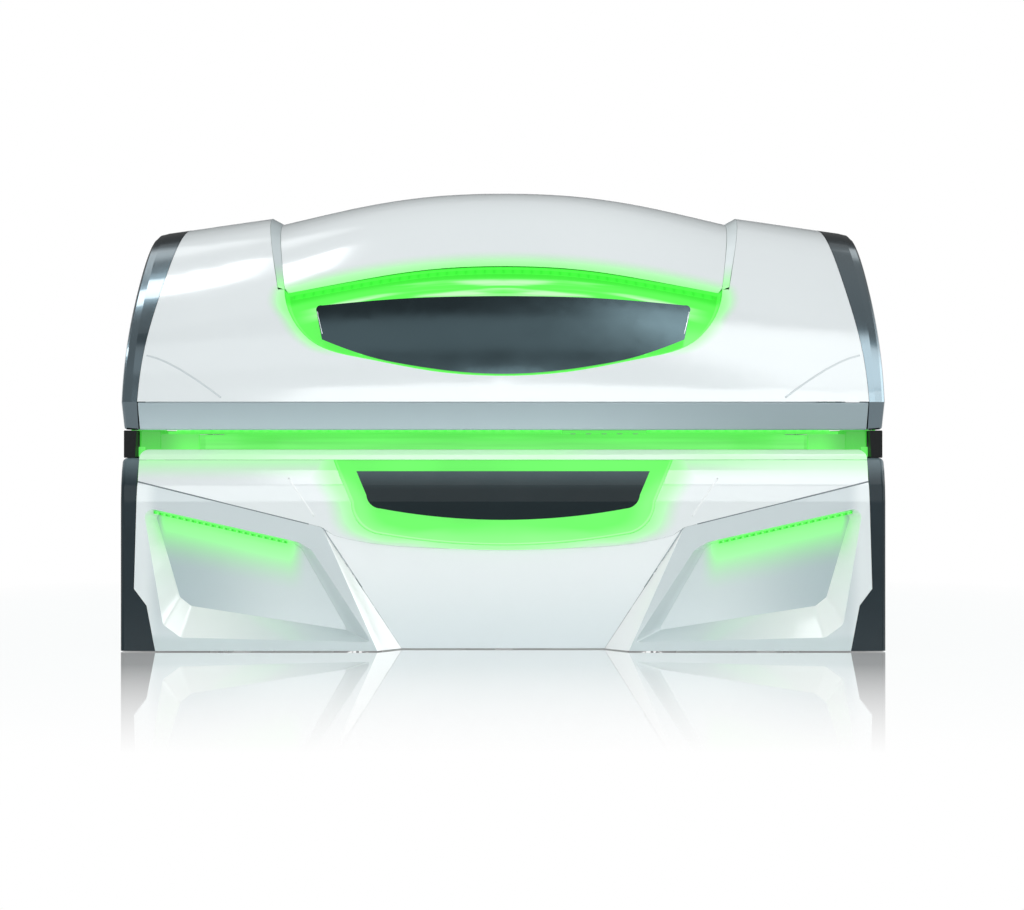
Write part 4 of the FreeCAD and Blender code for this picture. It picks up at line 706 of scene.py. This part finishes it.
for node, body in (("canopy_lamps", "canopy"), ("bench_lamps", "bench")):
    mesh = bmesh.new()
    for middle, half in bars(node):
        start = len(mesh.verts)
        glass = half.x - CAP
        turned(mesh, [(-glass - TUCKED, GLASS_R), (glass + TUCKED, GLASS_R)], TUBE_SIDES, 0)
        for side in (-1, 1):
            cap = [(glass, TUBE_R - 0.0002), (glass + 0.002, TUBE_R), (half.x - 0.003, TUBE_R),
                   (half.x - 0.001, TUBE_R - 0.001), (half.x, TUBE_R - 0.004), (half.x, 0.006)]
            turned(mesh, [(side * x, r) for x, r in cap], TUBE_SIDES, 1)
        mesh.verts.ensure_lookup_table()
        bmesh.ops.translate(mesh, verts=mesh.verts[start:], vec=middle)
    tubes = finished(node.replace("lamps", "tubes"), mesh, body, "tube_glass", tube_glass, bright_aluminium)
    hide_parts(node)

# %% [markdown]
# ## Diodes in the pockets
# Each pocket's light is a row of diodes with small domed lenses, 20 mm apart, under the upper edge. They show
# as dots from nearby, so each lens is turned in full, and the row is laid between the two ends of the CAD
# strip. A lens is palest where one looks straight into it, and greener at its rim.

# %% Diode lenses
DIODE_PITCH = 0.020
LENS_R = 0.0030
LENS_SIDES = 10
STRIP_H = 0.007
material, tree = new_material("clear_lens_over_green_diode")
rim = add(tree, "LayerWeight", Blend=0.5).outputs["Facing"]
tint = add(tree, "Mix", RGBA, i0=rim, i6=linear("#8dff88"), i7=linear("#1fd622"))
shader = add(tree, "BsdfPrincipled", Base_Color=linear("#2fae2c"), Roughness=0.05, IOR=1.49,
             Emission_Color=tint, Emission_Strength=1.0)
add(tree, "OutputMaterial", Surface=shader)

dome = [(0.0, LENS_R * 1.15), (0.0008, LENS_R * 1.15), (0.001, LENS_R), (0.0024, LENS_R * 0.88),
        (0.0036, LENS_R * 0.6), (0.0042, LENS_R * 0.2)]
face_front = Matrix.Rotation(math.radians(-90), 4, "Z")
mesh = bmesh.new()
for middle, half in bars("wing_led_strips"):
    count = int(2 * half.x / DIODE_PITCH)
    fall = (half.z - STRIP_H / 2) / half.x * (1 if middle.x > 0 else -1)
    for i in range(count):
        first = len(mesh.verts)
        turned(mesh, dome, LENS_SIDES)
        offset = (i - (count - 1) / 2) * DIODE_PITCH
        spot = middle + Vector((offset, -half.y, fall * offset))
        mesh.verts.ensure_lookup_table()
        bmesh.ops.transform(mesh, matrix=Matrix.Translation(spot) @ face_front, verts=mesh.verts[first:])
finished("pocket_diode_lenses", mesh, "bench", "green_light", material)

# %% [markdown]
# ## Small parts in the boarding gap
# The lit screen ends in two thin wings of opal sheet, and a second pair closes the slit beside each bolster.
# A black gasket fills the corner under each post. A green lens runs under the canopy's light strip, with a
# short sheet over each of its ends. Cut and polished sheet has soft edges that catch the light, so each one
# is a box of mesh code with bevelled edges, not a bare box.

# %% Gap sheets
def sheet(mesh, low, high, rounding):
    """Thin sheet between two corners, with rounded edges."""
    made = bmesh.ops.create_cube(mesh, size=1.0)["verts"]
    size = Vector(high) - Vector(low)
    middle = (Vector(high) + Vector(low)) / 2
    bmesh.ops.transform(mesh, matrix=Matrix.Translation(middle) @ Matrix.Diagonal((*size, 1.0)), verts=made)
    edges = list({edge for vert in made for edge in vert.link_edges})
    bmesh.ops.bevel(mesh, geom=edges, offset=rounding, segments=2, profile=0.5, affect="EDGES")


def at_both_ends(mesh, *cuts):
    """Sheets at the right end and mirrored at the left; a cut is its x, y and z ranges and its rounding."""
    for flip in (1, -1):
        for x_range, y_range, z_range, rounding in cuts:
            low, high = zip(sorted(flip * x for x in x_range), y_range, z_range)
            sheet(mesh, low, high, rounding)


def lit_sheet(name, colour, strength):
    """Opal sheet whose glow drifts along its length."""
    material, tree = new_material(name)
    lit_plastic(tree, linear(colour), in_bands(tree, 0.85 * strength, strength), 0.12)
    return material


# Painted light: the control panel hangs in the gap's green light and glows with it, though it is no lamp.
dress(lit_sheet("control_panel_painted_green_light", "#5ff458", 0.85), "control_panel")

# Painted light: the screen's wings and the slit sheets glow like the screen itself.
mesh = bmesh.new()
at_both_ends(mesh, ((1.1075, 1.138), (0.4585, 0.4615), (0.600, 0.6715), 0.0007),
             ((1.098, 1.1185), (-0.6040, -0.6018), (0.583, 0.621), 0.0005))
finished("gap_screen_ends", mesh, "bench", "tray_green", lit_sheet("lit_opal_PMMA_sheet", "#6cf566", 0.9))

mesh = bmesh.new()
at_both_ends(mesh, ((1.116, 1.151), (-0.6100, -0.6050), (0.574, 0.591), 0.0008))
finished("post_gaskets", mesh, "bench", "black_abs", black_abs)

mesh = bmesh.new()
sheet(mesh, (-1.050, -0.5608, 0.6605), (1.050, -0.5552, 0.6690), 0.0020)
at_both_ends(mesh, ((1.040, 1.150), (-0.5660, -0.5630), (0.6712, 0.6750), 0.0005))
finished("gap_light_lens", mesh, "canopy", "green_light", lit_sheet("lens_over_gap_strip", "#5ff458", 0.92))

# %% [markdown]
# ## Gaskets, folds and creases
# Thin gaskets close the joints between panels, a bright bead ends the deflector on each side, and folds and
# creases that were pressed into the sheet catch a line of light. The fold strips are also a whiter ABS, a
# painted highlight, and the crease strips a greyer one, painted shade. The lines could be bump, but a real
# strip shows from every side. So points of each route are dropped onto the panels from the front, and joined
# by a narrow half-round strip that is sunk a little into the panel. A cast right on a seam would fall through
# the joint, so it is made a few millimetres lower, and the point is moved back up.

# %% Strips laid on panels
CAST_FROM = -2.0
CASTS_PER_LEG = 8
STRIP_SIDES = 5
SUNK = 0.0003


def surface(*names):
    """Search tree over the faces of some CAD nodes."""
    points = []
    faces = []
    for name in names:
        data = nodes[name].data
        faces += [[len(points) + i for i in face.vertices] for face in data.polygons]
        points += [v.co.copy() for v in data.vertices]
    return BVHTree.FromPolygons(points, faces)


def raised_strip(mesh, panels, route, width, height, aside):
    """Half-round strip laid on panels along a front-view route of (x, z) points."""
    line = []
    for (x0, z0), (x1, z1) in zip(route, route[1:]):
        for i in range(CASTS_PER_LEG):
            x, z = x0 + (x1 - x0) * i / CASTS_PER_LEG, z0 + (z1 - z0) * i / CASTS_PER_LEG
            hit, normal, _, _ = panels.ray_cast(Vector((x, CAST_FROM, z - aside)), Vector((0, 1, 0)))
            if hit is not None:
                line.append((hit + Vector((0, 0, aside)), normal if normal.y < 0 else -normal))
    rings = []
    for i, (hit, normal) in enumerate(line):
        ahead = (line[min(i + 1, len(line) - 1)][0] - line[max(i - 1, 0)][0]).normalized()
        across = ahead.cross(normal).normalized()
        ring = []
        for k in range(STRIP_SIDES):
            angle = math.pi * k / (STRIP_SIDES - 1)
            point = hit + across * (width / 2 * math.cos(angle)) + normal * (height * math.sin(angle) - SUNK)
            ring.append(mesh.verts.new(point))
        rings.append(ring)
    for a, b in zip(rings, rings[1:]):
        for k in range(STRIP_SIDES - 1):
            mesh.faces.new((a[k], a[k + 1], b[k + 1], b[k])).smooth = True
        mesh.faces.new((a[0], b[0], b[-1], a[-1]))
    mesh.faces.new(rings[0][::-1])
    mesh.faces.new(rings[-1])


def strips(name, body, slot, material, panels, route, width, height, aside=0.0, flips=(1, -1)):
    """One piece from a route and its mirror image."""
    mesh = bmesh.new()
    for flip in flips:
        raised_strip(mesh, surface(*panels), [(flip * x, z) for x, z in route], width, height, aside)
    finished(name, mesh, body, slot, material)


# %% Lines on the bench
gasket_grey = moulded("grey_EPDM_gasket", "#7d878b", "#737d81", 0.45, ior=1.50, grain=0.2)
pale_gasket = moulded("pale_grey_EPDM_gasket", "#b4bec2", "#abb5b9", 0.45, ior=1.50, grain=0.2)
# Painted highlight: the fold strips are a whiter ABS than the fascia, on top of the light they catch.
fold_painted_highlight = gloss_white("fold_ABS_painted_highlight", None, "#f8fafb", "#f4f6f7")
wings = ("wing_panel_left", "wing_panel_right")
strips("fascia_seam_gasket", "bench", "satin_slate", gasket_grey, wings,
       [(-1.106, 0.5152), (-0.83, 0.4469), (-0.5535, 0.3786)], 0.0042, 0.0006, 0.004)
strips("wing_knee_gasket", "bench", "satin_slate", pale_gasket, wings,
       [(-0.544, 0.3743), (-0.3131, 0.0138)], 0.0056, 0.0008, 0.007)
strips("fascia_fold_lines", "bench", "white_abs", fold_painted_highlight, ["bench_fascia"],
       [(-0.6507, 0.5264), (-0.6093, 0.4658), (-0.566, 0.4022)], 0.006, 0.0008)

# %% Lines on the canopy
# Painted shade: the crease strips are a greyer ABS than the shell.
crease_painted_shade = moulded("crease_ABS_painted_shade", "#d5dcde", "#ccd3d6", 0.20, coat=0.3)
satin_bead = metal("satin_edge_bead", "#cfd5d7", "#c2c9cb", 0.35, (1, 1, 0.2))
strips("rail_gasket", "canopy", "grey_rail", pale_gasket, ["canopy_grip_rail"],
       [(-1.085, 0.7565), (0.0, 0.7565), (1.085, 0.7565)], 0.0032, 0.0005, 0.006, flips=(1,))
strips("deflector_end_beads", "canopy", "slate_abs", satin_bead, ["intake_deflector"],
       [(-0.5758, 1.040), (-0.5680, 1.010), (-0.5545, 0.962)], 0.0032, 0.0008)
strips("shell_crease_lines", "canopy", "white_abs", crease_painted_shade, ["canopy_shell"],
       [(-1.092, 0.901), (-1.062, 0.893), (-1.030, 0.880), (-0.985, 0.857), (-0.935, 0.826), (-0.888, 0.794),
        (-0.852, 0.767)], 0.007, 0.0008)

# %% [markdown]
# ## The studio floor
# The bed stands on a polished white floor. As any polished sheet it mirrors little from above and more at a
# flat angle, which a Fresnel node gives, and here the mirror also fades out with the distance from the bed's
# footprint, so that the floor ends in plain white. To the camera the floor emits white, less a little close
# to the bed, where a matte part keeps the bed's soft shadow.

# %% Floor
HALF_LENGTH, HALF_DEPTH = 1.16, 0.675
FADE_START, FADE_END = 0.3, 1.7
POLISH = 1.35
MATTE_SHARE = 0.12
bpy.ops.mesh.primitive_plane_add(size=60, location=(0, 0, 0))
floor = bpy.context.object
floor.name = "floor"
material, tree = new_material("white_studio_floor")
from_middle = add(tree, "VectorMath", {"operation": "ABSOLUTE"}, i0=add(tree, "TexCoord").outputs["Object"])
outside = add(tree, "VectorMath", MINUS, i0=from_middle, i1=(HALF_LENGTH, HALF_DEPTH, 0.0))
outside = add(tree, "VectorMath", LARGER, i0=outside, i1=(0.0, 0.0, 0.0))
gap = add(tree, "VectorMath", {"operation": "LENGTH"}, i0=outside)
near = add(tree, "MapRange", Value=gap, From_Min=FADE_END, From_Max=FADE_START)
polish = add(tree, "MapRange", Value=gap, From_Min=FADE_END, From_Max=FADE_START, To_Max=POLISH)
mirror = add(tree, "Math", TIMES | {"use_clamp": True}, i0=polish, i1=add(tree, "Fresnel", IOR=1.6))
rays = add(tree, "LightPath")
seen = add(tree, "Math", LARGER, i0=rays.outputs["Is Camera Ray"], i1=rays.outputs["Is Glossy Ray"])
seen = add(tree, "Math", LARGER, i0=seen, i1=rays.outputs["Is Transmission Ray"])
white = add(tree, "Emission", Color=(1, 1, 1, 1), Strength=1.0)
matte = add(tree, "BsdfDiffuse", Color=linear("#f2f5f6"))
shadowed = add(tree, "Math", TIMES_PLUS, i0=near, i1=-MATTE_SHARE, i2=1.0)
bright = add(tree, "Math", TIMES, i0=shadowed, i1=seen)
ground = add(tree, "MixShader", i0=bright, i1=matte, i2=white)
gloss = add(tree, "BsdfGlossy", Color=linear("#fbfdfd"), Roughness=0.03)
add(tree, "OutputMaterial", Surface=add(tree, "MixShader", i0=mirror, i1=ground, i2=gloss))
floor.data.materials.append(material)
print("floor mirror fades out", FADE_END, "m from the bed")

# %% [markdown]
# ## The room
# A plain white room lights the bed from all round. Polished plastic shows more: what it mirrors. Soft boxes
# as real lamps would also wash the panels out, so only for mirrored rays the room is drawn with nodes:
# darker behind the bed, with soft boxes that leave long pale reflections, and dark flags that take light
# away. A box is given by azimuth from the front toward +X and by elevation, both in degrees. Below the
# horizon a mirrored ray sees the white of the floor, which reaches higher behind the bed than in front.

# %% Studio world
SOFT_BOXES = [  # azimuths, elevations, width of the soft edge, brightness; a flag's is below zero
    ((10, 44), (30, 66), 3.0, 3.6),        # large, high in front, to the right
    ((-30, 14), (41, 59), 1.2, 0.45),      # weak, high in front
    ((-40, 40), (60.5, 85), 1.0, -0.36),   # flag over the crown
    ((-181, -150), (15, 48), 2.0, -0.2),   # flag behind, left
    ((150, 181), (15, 48), 2.0, -0.2),     # flag behind, right
    ((134, 149), (47, 57), 2.0, 1.2),      # small, behind the right end
    ((-9, 27), (20, 29.8), 1.0, 4.4),      # in front, above eye level
    ((-40, 40), (4, 13), 2.0, 2.6),        # in front, low and wide
    ((66, 118), (5, 34), 5.0, 5.0),        # beside the right end
    ((-120, -95), (3, 15), 3.0, 3.0),      # beside the left end, low
    ((-150, -118), (50, 64), 3.0, 1.4),    # behind the left end, high
]
HORIZON_FRONT, HORIZON_BEHIND = 1, 15
world = bpy.data.worlds.new("studio")
scene.world = world
world.use_nodes = True
tree = world.node_tree
tree.nodes.clear()
sky = add(tree, "SeparateXYZ", Vector=add(tree, "TexCoord").outputs["Generated"])
forward = add(tree, "Math", TIMES, i0=sky.outputs[1], i1=-1.0)
azimuth = add(tree, "Math", {"operation": "ARCTAN2"}, i0=sky.outputs[0], i1=forward)
elevation = add(tree, "Math", {"operation": "ARCSINE"}, i0=sky.outputs[2])


def band(value, low, high, soft):
    """1 inside a range of degrees, with soft edges."""
    rise = add(tree, "MapRange", SMOOTH, Value=value, From_Min=math.radians(low - soft),
               From_Max=math.radians(low + soft))
    fall = add(tree, "MapRange", SMOOTH, Value=value, From_Min=math.radians(high + soft),
               From_Max=math.radians(high - soft))
    return add(tree, "Math", TIMES, i0=rise, i1=fall)


level = add(tree, "MapRange", SMOOTH, Value=forward, From_Min=-0.75, From_Max=-0.1, To_Min=0.30, To_Max=0.62)
for azimuths, elevations, soft, strength in SOFT_BOXES:
    wide, tall = band(azimuth, *azimuths, soft), band(elevation, *elevations, soft)
    inside = add(tree, "Math", TIMES, i0=wide, i1=tall)
    box = add(tree, "Math", TIMES, i0=inside, i1=strength)
    level = add(tree, "Math", {"operation": "ADD"}, i0=level, i1=box)
print("soft boxes and flags:", len(SOFT_BOXES))

# %% [markdown]
# ## The ceiling strip and the two rooms
# One long strip light hangs in the ceiling, in a plane above the bed. A direction divided by its height is
# the place where it meets that plane, so there the strip is a plain rectangle. At the end the drawn room, the
# plain room and the white backdrop are joined by what kind of ray asks.

# %% Ceiling strip and backdrop
side = add(tree, "Math", {"operation": "DIVIDE"}, i0=sky.outputs[0], i1=sky.outputs[2])
back = add(tree, "Math", {"operation": "DIVIDE"}, i0=sky.outputs[1], i1=sky.outputs[2])
strip = add(tree, "MapRange", SMOOTH, Value=side, From_Min=-0.225, From_Max=-0.245)
for low, high in ((0.02, 0.035), (0.165, 0.15)):
    edge = add(tree, "MapRange", SMOOTH, Value=back, From_Min=low, From_Max=high)
    strip = add(tree, "Math", TIMES, i0=strip, i1=edge)
overhead = add(tree, "MapRange", Value=sky.outputs[2], From_Min=0.2, From_Max=0.4, To_Max=8.0)
strip = add(tree, "Math", TIMES, i0=strip, i1=overhead)
level = add(tree, "Math", {"operation": "ADD"}, i0=level, i1=strip)
mirrored = add(tree, "Background", Color=linear("#f6f9fa"), Strength=level)
plain = add(tree, "Background", Color=linear("#f6f9fa"), Strength=0.76)
white = add(tree, "Background", Color=(1, 1, 1, 1), Strength=1.0)
rays = add(tree, "LightPath")
behind = add(tree, "Math", {"operation": "LESS_THAN"}, i0=forward, i1=0.0)
horizon = add(tree, "Math", TIMES_PLUS, i0=behind, i1=math.radians(HORIZON_BEHIND - HORIZON_FRONT),
              i2=math.radians(HORIZON_FRONT))
low_sky = add(tree, "Math", {"operation": "LESS_THAN"}, i0=elevation, i1=horizon)
low_glossy = add(tree, "Math", TIMES, i0=rays.outputs["Is Glossy Ray"], i1=low_sky)
seen = add(tree, "Math", LARGER, i0=rays.outputs["Is Camera Ray"], i1=low_glossy)
seen = add(tree, "Math", LARGER, i0=seen, i1=rays.outputs["Is Transmission Ray"])
room = add(tree, "MixShader", i0=rays.outputs["Is Glossy Ray"], i1=plain, i2=mirrored)
add(tree, "OutputWorld", Surface=add(tree, "MixShader", i0=seen, i1=room, i2=white))
print("world nodes:", len(tree.nodes))

# %% [markdown]
# ## Lamps
# The room alone would light the bed evenly. A large soft box above it gives the crown its brighter top and
# the floor its soft shadow, and one in front lifts the panels. Both are hidden from mirrored rays, which have
# their own boxes.

# %% Soft boxes
def lamp(name, location, tilt, width, height, power):
    """Soft box that lights matte surfaces only; tilt is 0 for down and 90 for straight back at the bed."""
    data = bpy.data.lights.new(name, "AREA")
    data.shape = "RECTANGLE"
    data.size = width
    data.size_y = height
    data.energy = power
    box = bpy.data.objects.new(name, data)
    box.location = location
    box.rotation_euler = (math.radians(tilt), 0, 0)
    box.visible_glossy = False
    scene.collection.objects.link(box)
    print(name, "has", power, "W")


lamp("overhead_soft_box", (0, -0.6, 3.6), 0, 4.0, 2.4, 15.0)
lamp("front_soft_box", (0, -4.5, 1.2), 85, 2.0, 1.2, 26.0)
